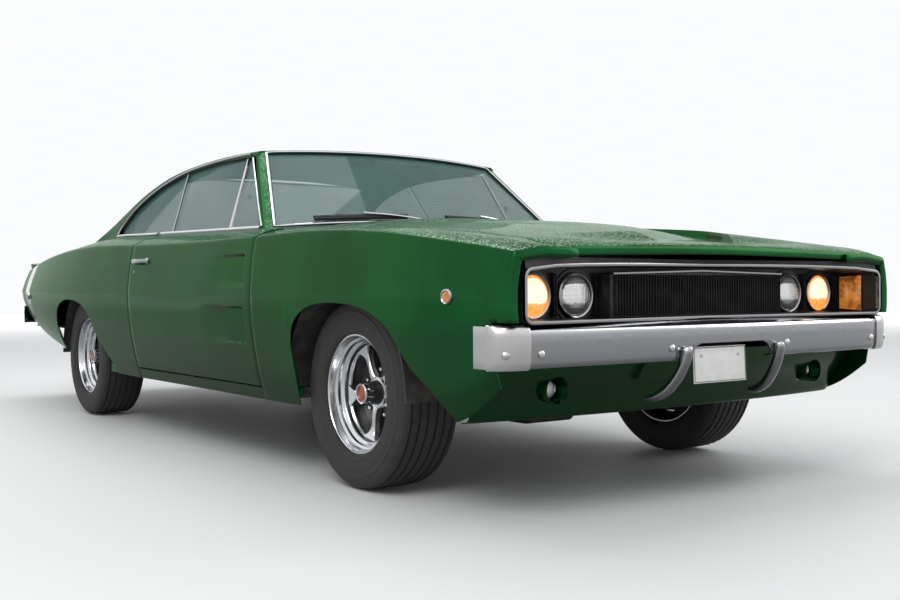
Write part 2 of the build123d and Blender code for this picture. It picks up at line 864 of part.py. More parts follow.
# Frame rails, cross member, radiator support and suspension arms
with BuildPart() as front_frame:
    with BuildSketch(cross_plane(frame_front_y)):
        for side in (-1, 1):
            with Locations((side * rail_x, rail_z)):
                Rectangle(2 * rail_half, 2 * rail_half_z)
    extrude(amount=firewall_y - firewall_thick - frame_front_y, dir=(0, 1, 0))
    with BuildSketch(cross_plane(support_y)):
        with Locations((0, (support_top + rail_z) / 2)):
            Rectangle(2 * support_half, support_top - rail_z)
        with Locations((0, (support_top + rail_z) / 2 + 20)):
            Rectangle(2 * radiator_half + 20, support_top - rail_z - 120, mode=Mode.SUBTRACT)
    extrude(amount=12, dir=(0, 1, 0))
    member_top = rail_z - rail_half_z
    with BuildSketch(Plane.XY.offset(member_top)):
        with Locations((0, front_axle_y)):
            Rectangle(2 * (rail_x + rail_half), 120)
    extrude(amount=-80)
    for side in (-1, 1):
        for arm_z, arm_root in ((lower_arm_z, rail_x + rail_half - 10), (upper_arm_z, rail_x)):
            with BuildSketch(Plane.XY.offset(arm_z)):
                with BuildLine():
                    Polyline(
                        (side * arm_root, front_axle_y - 60),
                        (side * steer_x, front_axle_y - 16),
                        (side * steer_x, front_axle_y + 16),
                        (side * arm_root, front_axle_y + 60),
                        close=True,
                    )
                make_face()
                with Locations((side * steer_x, front_axle_y)):
                    Circle(20)
            extrude(amount=arm_thick)
        with BuildSketch(Plane.XY.offset(rail_z + rail_half_z)):
            with Locations((side * (rail_x + 10), front_axle_y)):
                Rectangle(50, 120)
        extrude(amount=upper_arm_z + arm_thick - rail_z - rail_half_z)
save(front_frame, "front_frame")

# Steering knuckles with their spindles
for side_name, side in (("right", -1), ("left", 1)):
    with BuildPart() as knuckle:
        post_bottom = lower_arm_z + arm_thick + rest_gap
        with BuildSketch(Plane.XY.offset(post_bottom)):
            with Locations((side * steer_x, front_axle_y)):
                Rectangle(2 * post_half, 2 * post_half)
        extrude(amount=upper_arm_z - rest_gap - post_bottom)
        with BuildSketch(Plane.YZ.offset(side * steer_x)):
            with Locations((front_axle_y, hub_z)):
                Circle(spindle_r)
        extrude(amount=spindle_end_x - steer_x, dir=(side, 0, 0))
    save(knuckle, f"knuckle_{side_name}")

# Rear axle with leaf springs, drive shaft and hangers
with BuildPart() as rear_axle:
    with BuildSketch(Plane.YZ):
        with Locations((rear_axle_y, hub_z)):
            Circle(axle_r)
    extrude(amount=rear_spindle_x, both=True)
    with BuildSketch(Plane.YZ):
        with Locations((rear_axle_y, hub_z)):
            Circle(spindle_r)
    extrude(amount=spindle_end_x, both=True)
    with BuildSketch(Plane.YZ):
        with Locations((rear_axle_y, hub_z)):
            Circle(differential_r)
    extrude(amount=differential_half, both=True)
    for side in (-1, 1):
        with BuildSketch(Plane.YZ.offset(side * leaf_x)):
            with BuildLine():
                ThreePointArc((leaf_front_y, leaf_end_z), (rear_axle_y, leaf_mid_z), (leaf_rear_y, leaf_end_z))
                Line((leaf_rear_y, leaf_end_z), (leaf_rear_y, leaf_end_z + leaf_thick))
                ThreePointArc(
                    (leaf_rear_y, leaf_end_z + leaf_thick),
                    (rear_axle_y, leaf_mid_z + leaf_thick),
                    (leaf_front_y, leaf_end_z + leaf_thick),
                )
                Line((leaf_front_y, leaf_end_z + leaf_thick), (leaf_front_y, leaf_end_z))
            make_face()
        extrude(amount=leaf_half, both=True)
        with BuildSketch(Plane.XY.offset(leaf_end_z)):
            for hanger_y in (leaf_front_y + 16, leaf_rear_y - 16):
                with Locations((side * leaf_x, hanger_y)):
                    Rectangle(2 * leaf_half - 16, 30)
        extrude(amount=trunk_z - leaf_end_z)
    for shaft_y, shaft_z in ((shaft_front_y, gearbox_z), (rear_axle_y - differential_r + 20, hub_z)):
        with BuildSketch(cross_plane(shaft_y)):
            with Locations((0, shaft_z)):
                Circle(shaft_r)
    loft(ruled=True)
save(rear_axle, "rear_axle")

# Wheelhouses: a curved liner over each wheel and its inner wall
with BuildPart() as wheelhouses:
    for axle_y, wall_x, liner_x in (
        (front_axle_y, rail_x + rail_half, front_liner_x),
        (rear_axle_y, rear_wall_x, rear_liner_x),
    ):
        for side in (-1, 1):
            for depth, hollow in ((liner_x - wall_x, True), (inner_sheet, False)):
                with BuildSketch(Plane.YZ.offset(side * wall_x)):
                    with Locations((axle_y, hub_z)):
                        Circle(liner_r + inner_sheet)
                        if hollow:
                            Circle(liner_r, mode=Mode.SUBTRACT)
                    with Locations((axle_y, liner_low_z - liner_r)):
                        Rectangle(3 * liner_r, 2 * liner_r, mode=Mode.SUBTRACT)
                extrude(amount=depth, dir=(side, 0, 0))
    for side in (-1, 1):
        add(fenders[side], mode=Mode.SUBTRACT)
        add(quarters[side], mode=Mode.SUBTRACT)
    add(front_frame.part, mode=Mode.SUBTRACT)
    add(rear_axle.part, mode=Mode.SUBTRACT)
save(wheelhouses, "wheelhouses")

# Engine and gearbox, one plain block at its real place
with BuildPart() as engine_block:
    with BuildSketch(Plane.XY.offset(rail_z - rail_half_z)):
        with Locations((0, engine_y)):
            Rectangle(2 * engine_half, engine_length)
    extrude(amount=engine_height)
    with BuildSketch(cross_plane(engine_y + engine_length / 2)):
        with Locations((0, gearbox_z)):
            Rectangle(2 * gearbox_half, 2 * gearbox_half_z)
    extrude(amount=gearbox_length, dir=(0, 1, 0))
save(engine_block, "engine_block")

# Twin exhaust: pipes, mufflers and hangers up to the floor
with BuildPart() as exhaust:
    for side in (-1, 1):
        with BuildLine():
            pipe = FilletPolyline(
                (side * exhaust_x, engine_y + engine_length / 2 - 140, rail_z - rail_half_z - 70),
                (side * exhaust_x, firewall_y + 60, exhaust_z),
                (side * exhaust_x, rear_axle_y + 0.307 * rear_overhang, exhaust_z),
                (side * exhaust_x, rear_axle_y + 0.586 * rear_overhang, exhaust_tip_z),
                (side * exhaust_x, tail_y - 70, exhaust_tip_z),
                radius=180,
            )
        with BuildSketch(Plane(origin=pipe @ 0, z_dir=pipe % 0)):
            Circle(exhaust_r)
        sweep(path=pipe)
        with BuildSketch(cross_plane(muffler_y)):
            with Locations((side * exhaust_x, exhaust_z)):
                Ellipse(110, exhaust_r + 22)
        extrude(amount=muffler_length, dir=(0, 1, 0))
        with BuildSketch(Plane.XY.offset(exhaust_z)):
            for hanger_y in (muffler_y + 60, muffler_y + muffler_length - 60):
                with Locations((side * exhaust_x, hanger_y)):
                    Rectangle(40, 12)
        extrude(amount=floor_z - exhaust_z)
save(exhaust, "exhaust")

# Fuel tank under the trunk floor
with BuildPart() as fuel_tank:
    with BuildSketch(Plane.XY.offset(trunk_z)):
        with Locations((0, tank_y)):
            RectangleRounded(2 * tank_half, tank_length, 60)
    extrude(amount=-tank_depth)
    fillet(fuel_tank.edges().group_by(Axis.Z)[0], 30)
save(fuel_tank, "fuel_tank")

# Front apron under the bumper
with BuildPart() as front_valance:
    for x, sweep in ((-1, 1), (-0.7, 0.35), (0, 0), (0.7, 0.35), (1, 1)):
        front = nose_y + sweep * valance_sweep
        with BuildSketch(Plane.YZ.offset(x * valance_half)):
            with BuildLine():
                Polyline(
                    (front + 70, valance_top_z),
                    (front + 95, valance_top_z - 60),
                    (front + 170, parking_z),
                    (front + 215, 290),
                    (front + 225, 290),
                    (front + 182, 388),
                    (front + 107, valance_top_z - 58),
                    (front + 82, valance_top_z),
                    close=True,
                )
            make_face()
    loft(ruled=True)
    with BuildSketch(cross_plane(nose_y)):
        with Locations((-parking_x, parking_z), (parking_x, parking_z)):
            Circle(parking_r)
    extrude(amount=400, dir=(0, 1, 0), mode=Mode.SUBTRACT)
    for side in (-1, 1):
        add(fenders[side], mode=Mode.SUBTRACT)
save(front_valance, "front_valance")

# Grille: dark back plate with a forward centre of fine upright ribs
with BuildPart() as grille:
    with BuildSketch(cross_plane(grille_y)):
        with Locations((0, (grille_low_z + grille_high_z) / 2)):
            Rectangle(2 * grille_half, grille_high_z - grille_low_z)
    extrude(amount=-10)
    with BuildSketch(cross_plane(grille_step_y + 12)):
        with Locations((0, (grille_low_z + grille_high_z) / 2)):
            Rectangle(2 * grille_step_half, grille_high_z - grille_low_z - 24)
    extrude(amount=grille_y - grille_step_y - 12, dir=(0, 1, 0))
    with BuildSketch(cross_plane(grille_step_y)):
        rib_count = int(2 * grille_step_half / rib_pitch)
        with Locations((0, (grille_low_z + grille_high_z) / 2)):
            with GridLocations(rib_pitch, 1, rib_count, 1):
                Rectangle(rib_pitch / 3, grille_high_z - grille_low_z - 30)
    extrude(amount=12, dir=(0, 1, 0))
    for side in (-1, 1):
        add(fenders[side], mode=Mode.SUBTRACT)
save(grille, "grille")

# Bright frame round the grille opening
with BuildPart() as grille_surround:
    with BuildSketch(cross_plane(surround_front_y)):
        with Locations((0, (grille_low_z + grille_high_z) / 2)):
            RectangleRounded(2 * grille_half, grille_high_z - grille_low_z, 30)
            RectangleRounded(
                2 * (grille_half - surround_wall),
                grille_high_z - grille_low_z - 2 * surround_wall,
                20,
                mode=Mode.SUBTRACT,
            )
    extrude(amount=grille_y - surround_front_y, dir=(0, 1, 0))
    add(grille.part, mode=Mode.SUBTRACT)
    for side in (-1, 1):
        add(fenders[side], mode=Mode.SUBTRACT)
    add(hood.part, mode=Mode.SUBTRACT)
save(grille_surround, "grille_surround")

# Four round headlamps
with BuildPart() as headlamps:
    with BuildSketch(cross_plane(grille_y - lamp_depth)):
        with Locations(*[(side * x, lamp_z) for side in (-1, 1) for x in lamp_x]):
            Circle(lamp_r)
    extrude(amount=lamp_depth, dir=(0, 1, 0))
save(headlamps, "headlamps")

# Parking lamps in the apron and round side markers
with BuildPart() as marker_lamps:
    for side in (-1, 1):
        with BuildSketch(cross_plane(parking_y)):
            with Locations((side * parking_x, parking_z)):
                Circle(parking_r)
        extrude(amount=parking_depth, dir=(0, 1, 0))
        for marker_y in (marker_front_y, marker_rear_y):
            with BuildSketch(Plane.YZ.offset(side * (station_at(marker_y).crease_x - 12))):
                with Locations((marker_y, marker_z)):
                    Circle(marker_r)
            extrude(amount=18, dir=(side, 0, 0))
    for side in (-1, 1):
        add(fenders[side], mode=Mode.SUBTRACT)
        add(quarters[side], mode=Mode.SUBTRACT)
save(marker_lamps, "marker_lamps")

# Bumper plans: distance from the middle or in from the body's half width, setback from the car's end, depth
Plan = namedtuple("Plan", "x setback depth")
front_bumper_plan = [
    Plan(0, 0, 92),
    Plan(250, 4, 90),
    Plan(half_width - 184, 24, 72),
    Plan(half_width - 106, 36, 52),
    Plan(half_width - 56, 60, 26),
    Plan(half_width - 42, 84, 12),
]
rear_bumper_plan = [
    Plan(0, 0, 58),
    Plan(240, 3, 55),
    Plan(half_width - 214, 18, 40),
    Plan(half_width - 134, 28, 30),
    Plan(half_width - 94, 44, 14),
]


def bumper_rows(plan, end_y, inwards):
    """Both halves of a bumper's plan: place across the car, front face and depth."""
    half = [(x, end_y + inwards * back, deep) for x, back, deep in plan]
    return [(-x, y, deep) for x, y, deep in reversed(half[1:])] + half


# Front bumper with its two guards and its brackets
with BuildPart() as front_bumper:
    for x, y, deep in bumper_rows(front_bumper_plan, nose_y, 1):
        lip = min(40, deep)
        with BuildSketch(Plane.YZ.offset(x)):
            with BuildLine():
                Polyline(
                    (y + deep, bumper_high_z),
                    (y + 7, bumper_edge_z),
                    (y, bumper_edge_z - 10),
                    (y + 4, bumper_low_z),
                    (y + lip, bumper_low_z),
                    (y + lip, bumper_low_z + bumper_wall),
                    (y + 4 + bumper_wall, bumper_low_z + bumper_wall),
                    (y + bumper_wall, bumper_edge_z - 10 - bumper_wall),
                    (y + 7 + bumper_wall / 2, bumper_edge_z - bumper_wall),
                    (y + deep, bumper_high_z - bumper_wall),
                    close=True,
                )
            make_face()
    loft(ruled=True)
    with BuildSketch(Plane.XZ.offset(-nose_y - 200)):
        with Locations((front_plate_x, front_plate_z + plate_height / 2)):
            Rectangle(plate_width + 30, plate_height + 16)
    extrude(amount=320, mode=Mode.SUBTRACT)
    for side in (-1, 1):
        for low, high in zip(guard_rows, guard_rows[1:]):
            for g in (low, high):
                with BuildSketch(Plane.XY.offset(g.z)):
                    with Locations((side * g.x, nose_y + g.setback)):
                        Rectangle(2 * g.half_w, 2 * g.half_d)
            loft(ruled=True)
        with BuildSketch(cross_plane(nose_y + 14)):
            with Locations((side * rail_x, bumper_edge_z - 45)):
                Rectangle(50, 40)
        extrude(amount=support_y - nose_y - 14, dir=(0, 1, 0))
save(front_bumper, "front_bumper")

# Rear bumper
with BuildPart() as rear_bumper:
    for x, y, deep in bumper_rows(rear_bumper_plan, tail_y, -1):
        with BuildSketch(Plane.YZ.offset(x)):
            with BuildLine():
                Polyline(
                    (y - deep, rear_bumper_high_z),
                    (y - 6, rear_bumper_high_z - 10),
                    (y, rear_bumper_high_z - 22),
                    (y - 4, rear_bumper_low_z),
                    (y - deep, rear_bumper_low_z),
                    (y - deep, rear_bumper_low_z + bumper_wall),
                    (y - 4 - bumper_wall, rear_bumper_low_z + bumper_wall),
                    (y - bumper_wall, rear_bumper_high_z - 22 - bumper_wall),
                    (y - 6 - bumper_wall / 2, rear_bumper_high_z - 10 - bumper_wall),
                    (y - deep, rear_bumper_high_z - bumper_wall),
                    close=True,
                )
            make_face()
    loft(ruled=True)
    for side in (-1, 1):
        with BuildSketch(cross_plane(tail_y - 8)):
            with Locations((side * rail_x, (rear_bumper_low_z + rear_bumper_high_z) / 2)):
                Rectangle(50, 40)
        extrude(amount=-rear_bracket_length, dir=(0, 1, 0))
    add(tail_panel.part, mode=Mode.SUBTRACT)
    for side in (-1, 1):
        add(quarters[side], mode=Mode.SUBTRACT)
save(rear_bumper, "rear_bumper")

# Blank number plates on their brackets
with BuildPart() as number_plates:
    with BuildSketch(cross_plane(nose_y + 10)):
        with Locations((front_plate_x, front_plate_z + plate_height / 2)):
            RectangleRounded(plate_width, plate_height, 10)
    extrude(amount=plate_thick, dir=(0, 1, 0))
    with BuildSketch(cross_plane(nose_y + 10 + plate_thick)):
        with Locations((front_plate_x, valance_top_z - 30)):
            Rectangle(60, 24)
    extrude(amount=front_plate_reach, dir=(0, 1, 0))
    with BuildSketch(cross_plane(rear_plate_y)):
        with Locations((0, rear_plate_z)):
            RectangleRounded(plate_width, plate_height, 10)
    extrude(amount=plate_thick, dir=(0, 1, 0))
    with BuildSketch(cross_plane(rear_plate_y)):
        with Locations((0, rear_plate_z + 27)):
            Rectangle(60, 24)
    extrude(amount=-rear_plate_reach, dir=(0, 1, 0))
    add(front_valance.part, mode=Mode.SUBTRACT)
    add(tail_panel.part, mode=Mode.SUBTRACT)
save(number_plates, "number_plates")

# Side glass follows the slope of the greenhouse sides
glass_slope_top = (1310, side_base_x - side_slope * (1310 - glass_base_z))
glass_slope_low = (880, side_base_x - side_slope * (880 - glass_base_z))


def side_glass(outline, side):
    """Slanted pane over a closed outline seen from the side."""
    (high_z, high_x), (low_z, low_x) = glass_slope_top, glass_slope_low
    with BuildPart() as pane:
        with BuildSketch(cross_plane(nose_y)):
            with BuildLine():
                Polyline(
                    (side * (low_x - glass_inset), low_z),
                    (side * (high_x - glass_inset), high_z),
                    (side * (high_x - glass_inset - glass_thick), high_z),
                    (side * (low_x - glass_inset - glass_thick), low_z),
                    close=True,
                )
            make_face()
        extrude(amount=length, dir=(0, 1, 0))
        with BuildSketch(Plane.YZ):
            with BuildLine():
                Polyline(*outline, close=True)
            make_face()
        extrude(amount=1000, both=True, mode=Mode.INTERSECT)
    return pane.part


# Panes, offsets from the middle of the cabin and heights; the door's pane ends at a slanted line
door_pane_outline = [
    (-834, door_glass_low_z),
    (-834, 966),
    (-860, 966),
    (-470, 1290),
    (-448, 1292),
    (-118, 1296),
    (256, 1280),
    (120, 950),
    (110, door_glass_low_z),
]
quarter_pane_outline = [
    (138, 980),
    (264, 1279),
    (552, 1225),
    (798, 1131),
    (918, 1018),
    (918, 1004),
    (885, 988),
    (885, 948),
    (304, 948),
    (304, 980),
]
door_pane = [(cabin_y + y, z) for y, z in door_pane_outline]
quarter_pane = [(cabin_y + y, z) for y, z in quarter_pane_outline]
for side_name, side in (("right", -1), ("left", 1)):
    with BuildPart() as door_glass:
        add(side_glass(door_pane, side))
        add(doors[side], mode=Mode.SUBTRACT)
    save(door_glass, f"door_glass_{side_name}")

with BuildPart() as quarter_glass:
    for side in (-1, 1):
        add(side_glass(quarter_pane, side))
        add(quarters[side], mode=Mode.SUBTRACT)
    add(roof_panel.part, mode=Mode.SUBTRACT)
save(quarter_glass, "quarter_glass")

# Front seats: a cushion and a backrest each
seat_outline = [(-430, 330), (-450, 470), (-60, 440), (60, 1010), (160, 1010), (60, 400), (30, 330)]
seat_profile = [(cabin_y + y, z) for y, z in seat_outline]
with BuildPart() as front_seats:
    for side in (-1, 1):
        with BuildSketch(Plane.YZ.offset(side * seat_x)):
            with BuildLine():
                Polyline(*seat_profile, close=True)
            make_face()
        extrude(amount=seat_half, both=True)
        with BuildSketch(Plane.XY.offset(floor_z + floor_thick)):
            with Locations((side * seat_x, cabin_y - 200)):
                with GridLocations(2 * seat_half - 100, 300, 2, 2):
                    Rectangle(30, 60)
        extrude(amount=330 - floor_z - floor_thick)
save(front_seats, "front_seats")

rear_seat_profile = [
    (cabin_y + 330, floor_z + floor_thick),
    (cabin_y + 320, 500),
    (cabin_y + 610, 478),
    (cabin_y + 745, 870),
    (cabin_y + 850, 870),
    (riser_y - 8, trunk_z + floor_thick + 8),
    (riser_y - 8, floor_z + floor_thick),
]
with BuildPart() as rear_seat:
    with BuildSketch(Plane.YZ):
        with BuildLine():
            Polyline(*rear_seat_profile, close=True)
        make_face()
    extrude(amount=rear_seat_half, both=True)
    with BuildSketch(cross_plane(cabin_y)):
        with Locations((0, tunnel_top_z + floor_thick - 200)):
            Rectangle(2 * tunnel_half + 30, 400)
    extrude(amount=riser_y - cabin_y + 100, dir=(0, 1, 0), mode=Mode.SUBTRACT)
save(rear_seat, "rear_seat")

# Dashboard under the windshield
with BuildPart() as dashboard:
    with BuildSketch(Plane.YZ):
        with BuildLine():
            Polyline(
                (firewall_y, cowl_z),
                (cabin_y - 780, cowl_z),
                (cabin_y - 750, cowl_z - 40),
                (cabin_y - 760, 700),
                (cabin_y - 830, 680),
                (firewall_y, 800),
                close=True,
            )
        make_face()
    extrude(amount=dash_half, both=True)
    add(floor_pan.part, mode=Mode.SUBTRACT)
save(dashboard, "dashboard")

# Steering wheel on its column
column_rise = sin(radians(column_tilt))
steering_plane = Plane(
    origin=(column_x, column_y, column_z),
    x_dir=(1, 0, 0),
    z_dir=(0, sqrt(1 - column_rise**2), column_rise),
)
with BuildPart() as steering_wheel:
    with BuildSketch(steering_plane):
        Circle(rim_ring_r + rim_tube_r)
        Circle(rim_ring_r - rim_tube_r, mode=Mode.SUBTRACT)
    extrude(amount=rim_tube_r, both=True)
    with BuildSketch(steering_plane):
        Circle(45)
        with PolarLocations(rim_ring_r / 2, 3, start_angle=90):
            Rectangle(rim_ring_r, 28)
    extrude(amount=8, both=True)
    with BuildSketch(steering_plane):
        Circle(24)
    extrude(amount=-column_length)
    add(dashboard.part, mode=Mode.SUBTRACT)
save(steering_wheel, "steering_wheel")

# Wipers parked at the foot of the windshield
with BuildPart() as wipers:
    for x in wiper_x:
        with BuildSketch(Plane.XY.offset(cowl_z + cowl_thick)):
            with Locations((x, hood_rear_y + 50)):
                Circle(14)
        extrude(amount=22)
        with BuildSketch(Plane.XY.offset(cowl_z + cowl_thick + 14)):
            with Locations((x + wiper_length / 2, hood_rear_y + 50)):
                Rectangle(wiper_length, 10)
        extrude(amount=6)
    add(windshield.part, mode=Mode.SUBTRACT)
save(wipers, "wipers")

# Wheels: rim, brake drum, five spokes and a centre cap, turned out to their side
rim_profile = [
    (-rim_half, rim_lip_r),
    (-rim_half + 5, rim_lip_r),
    (-rim_half + 5, rim_r),
    (-rim_half + 38, rim_r - 3),
    (-rim_half + 52, rim_well_r),
    (rim_half - 62, rim_well_r),
    (rim_half - 48, rim_r - 3),
    (rim_half - 5, rim_r),
    (rim_half - 5, rim_lip_r),
    (rim_half, rim_lip_r),
    (rim_half, rim_r - 6),
    (rim_half - 46, rim_r - 10),
    (rim_half - 60, rim_well_r - 6),
    (-rim_half + 50, rim_well_r - 6),
    (-rim_half + 36, rim_r - 9),
    (-rim_half, rim_r - 6),
]
tyre_profile = [
    (bead_half, rim_r),
    (bead_half + 1, rim_lip_r + 5),
    (tyre_half, 250),
    (tyre_half - 4, 300),
    (tyre_half - 22, 325),
    (tyre_half - 60, tyre_r),
    (60 - tyre_half, tyre_r),
    (22 - tyre_half, 325),
    (4 - tyre_half, 300),
    (-tyre_half, 250),
    (-bead_half - 1, rim_lip_r + 5),
    (-bead_half, rim_r),
    (22 - bead_half, rim_r),
    (16 - tyre_half, 255),
    (34 - tyre_half, 308),
    (tyre_half - 34, 308),
    (tyre_half - 16, 255),
    (bead_half - 22, rim_r),
]
wheel_places = {
    "front_right": (-1, front_track / 2, front_axle_y),
    "front_left": (1, front_track / 2, front_axle_y),
    "rear_right": (-1, rear_track / 2, rear_axle_y),
    "rear_left": (1, rear_track / 2, rear_axle_y),
}
for place, (side, offset_x, axle_y) in wheel_places.items():
    hub_point = (side * offset_x, axle_y, hub_z)
    wheel_plane = Plane(origin=hub_point, x_dir=(side, 0, 0), z_dir=(0, -side, 0))
    disc_plane = Plane(origin=hub_point, x_dir=(0, 1, 0), z_dir=(side, 0, 0))
    spin_axis = Axis(hub_point, (1, 0, 0))
    with BuildPart() as wheel:
        with BuildSketch(wheel_plane):
            with BuildLine():
                Polyline(*rim_profile, close=True)
            make_face()
        revolve(axis=spin_axis)
        with BuildSketch(disc_plane.offset(drum_low)):
            Circle(drum_r)
        extrude(amount=drum_depth)
        with BuildSketch(disc_plane.offset(drum_low + drum_depth)):
            Circle(spoke_hub_r)
            with PolarLocations(spoke_mid_r, spoke_count):
                Rectangle(2 * (rim_well_r - 4 - spoke_mid_r), spoke_width)
        extrude(amount=spoke_thick)
        with BuildSketch(disc_plane.offset(drum_low + drum_depth + spoke_thick)):
            Circle(cap_r)
        extrude(amount=cap_height)
        with BuildSketch(disc_plane.offset(drum_low)):
            Circle(spindle_r + rest_gap)
        extrude(amount=spindle_end_x - offset_x - drum_low + 3, mode=Mode.SUBTRACT)
    save(wheel, f"wheel_{place}")
    with BuildPart() as tyre:
        with BuildSketch(wheel_plane):
            with BuildLine():
                Polyline(*tyre_profile, close=True)
            make_face()
        revolve(axis=spin_axis)
    save(tyre, f"tyre_{place}")
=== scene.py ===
"""Looks of the full-size two-door fastback coupe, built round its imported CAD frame."""
import json
import logging
import math
from contextlib import contextmanager
from dataclasses import dataclass, field
from enum import Enum
from typing import Any, Callable, Iterator, Sequence

import bpy
import numpy as np
from mathutils import Matrix, Vector

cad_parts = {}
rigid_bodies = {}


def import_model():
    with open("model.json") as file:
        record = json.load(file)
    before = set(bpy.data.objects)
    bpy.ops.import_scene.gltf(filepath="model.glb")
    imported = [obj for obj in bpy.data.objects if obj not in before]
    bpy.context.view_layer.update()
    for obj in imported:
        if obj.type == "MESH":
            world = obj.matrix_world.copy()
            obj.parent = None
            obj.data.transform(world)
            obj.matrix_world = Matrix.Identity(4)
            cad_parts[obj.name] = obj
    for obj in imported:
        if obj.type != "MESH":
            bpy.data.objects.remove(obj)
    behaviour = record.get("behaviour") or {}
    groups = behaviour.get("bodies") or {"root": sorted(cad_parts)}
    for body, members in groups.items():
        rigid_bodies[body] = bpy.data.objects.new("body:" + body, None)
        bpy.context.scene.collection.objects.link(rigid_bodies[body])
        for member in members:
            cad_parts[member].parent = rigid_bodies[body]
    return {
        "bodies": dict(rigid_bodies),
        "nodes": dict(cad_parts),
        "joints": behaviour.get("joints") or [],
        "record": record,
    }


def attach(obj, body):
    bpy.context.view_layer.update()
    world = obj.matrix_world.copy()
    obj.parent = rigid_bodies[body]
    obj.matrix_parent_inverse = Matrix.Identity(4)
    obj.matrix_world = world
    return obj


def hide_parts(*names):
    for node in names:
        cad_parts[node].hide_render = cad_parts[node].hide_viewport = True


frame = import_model()
log = logging.getLogger("coupe")

MM = 0.001
SIDES = {"right": -1, "left": 1}
Point = tuple[float, float, float]
Colour = tuple[float, float, float]
Outline = Sequence[tuple[float, float]]
Seat = tuple[Point, Point]

# Lengthwise places in millimetres, nose towards -Y
NOSE_Y = -2641.5
TAIL_Y = 2641.5
FRONT_AXLE_Y = -1696.5
REAR_AXLE_Y = 1275.5
DOOR_FRONT_Y = -1086.5
DOOR_REAR_Y = 293.5
FENDER_FRONT_Y = NOSE_Y + 26
QUARTER_END_Y = TAIL_Y - 62
HOOD_REAR_Y = DOOR_FRONT_Y - 50
HOOD_FRONT_Y = NOSE_Y + 40
DECK_FRONT_Y = REAR_AXLE_Y + 306
DECK_REAR_Y = QUARTER_END_Y - 60
GAP = 5.0

# Direction of an axis that looks to the tail, and of one across the car
REARWARDS = (0.0, 1.0, 0.0)
ACROSS = np.array([1.0, 0.0, 0.0])

# Distances in metres under which points count as one and faces as none
DOUBLES = 0.00005
SLIVERS = 0.00002


class Finish(Enum):
    """Where a piece's edges and shading turn sharp."""

    PANEL = 34
    CRISP = 22


class Channel:
    """A shader socket that can stand in Python sums: each operator adds a Math node."""

    def __init__(self, shader: "Nodes", socket: Any) -> None:
        """Wrap one output socket of a node."""
        self.shader = shader
        self.socket = socket

    def _sum(self, operation: str, first: Any, second: Any = 0.0) -> "Channel":
        """Add one Math node over two values."""
        return self.shader.node("ShaderNodeMath", {"operation": operation}, {0: first, 1: second})

    def __add__(self, other: Any) -> "Channel":
        """Sum."""
        return self._sum("ADD", self, other)

    def __sub__(self, other: Any) -> "Channel":
        """Difference."""
        return self._sum("SUBTRACT", self, other)

    def __rsub__(self, other: Any) -> "Channel":
        """Difference, reflected."""
        return self._sum("SUBTRACT", other, self)

    def __mul__(self, other: Any) -> "Channel":
        """Product."""
        return self._sum("MULTIPLY", self, other)

    def over(self, limit: Any) -> "Channel":
        """One where the value is over the limit, else nothing."""
        return self._sum("GREATER_THAN", self, limit)

    def under(self, limit: Any) -> "Channel":
        """One where the value is under the limit, else nothing."""
        return self._sum("LESS_THAN", self, limit)

    def size(self) -> "Channel":
        """The value without its sign."""
        return self._sum("ABSOLUTE", self)

    def wave(self) -> "Channel":
        """Sine of the value."""
        return self._sum("SINE", self)

    def ramp(self, low: float, high: float, start: float = 0.0, end: float = 1.0) -> "Channel":
        """The value mapped smoothly from one range to another.

        Args:
            low, high: range of the value.
            start, end: range of the result.

        Returns:
            The mapped value, held at its ends.
        """
        settings = {"interpolation_type": "SMOOTHSTEP"}
        return self.shader.node("ShaderNodeMapRange", settings, {0: self, 1: low, 2: high, 3: start, 4: end})


class Nodes:
    """Adds nodes to one node tree."""

    def __init__(self, tree: Any) -> None:
        """Start with an emptied tree."""
        self.tree = tree
        self.tree.nodes.clear()

    def node(self, kind: str, settings: dict[str, Any], values: dict[Any, Any], out: Any = 0) -> Channel:
        """Add a node.

        Args:
            kind: the node's type.
            settings: its attributes, set first.
            values: what goes on or into its input sockets.
            out: which output to hand on.

        Returns:
            That output as a channel.
        """
        made = self.tree.nodes.new(kind)
        for key, value in settings.items():
            setattr(made, key, value)
        for key, value in values.items():
            self.feed(made.inputs[key], value)
        return Channel(self, made.outputs[out] if len(made.outputs) else None)

    def feed(self, socket: Any, value: Any) -> None:
        """Link a channel to a socket or set its plain value."""
        if isinstance(value, Channel):
            self.tree.links.new(value.socket, socket)
        elif isinstance(value, tuple) and len(value) == 3 and socket.type == "RGBA":
            socket.default_value = (*value, 1)
        else:
            socket.default_value = value


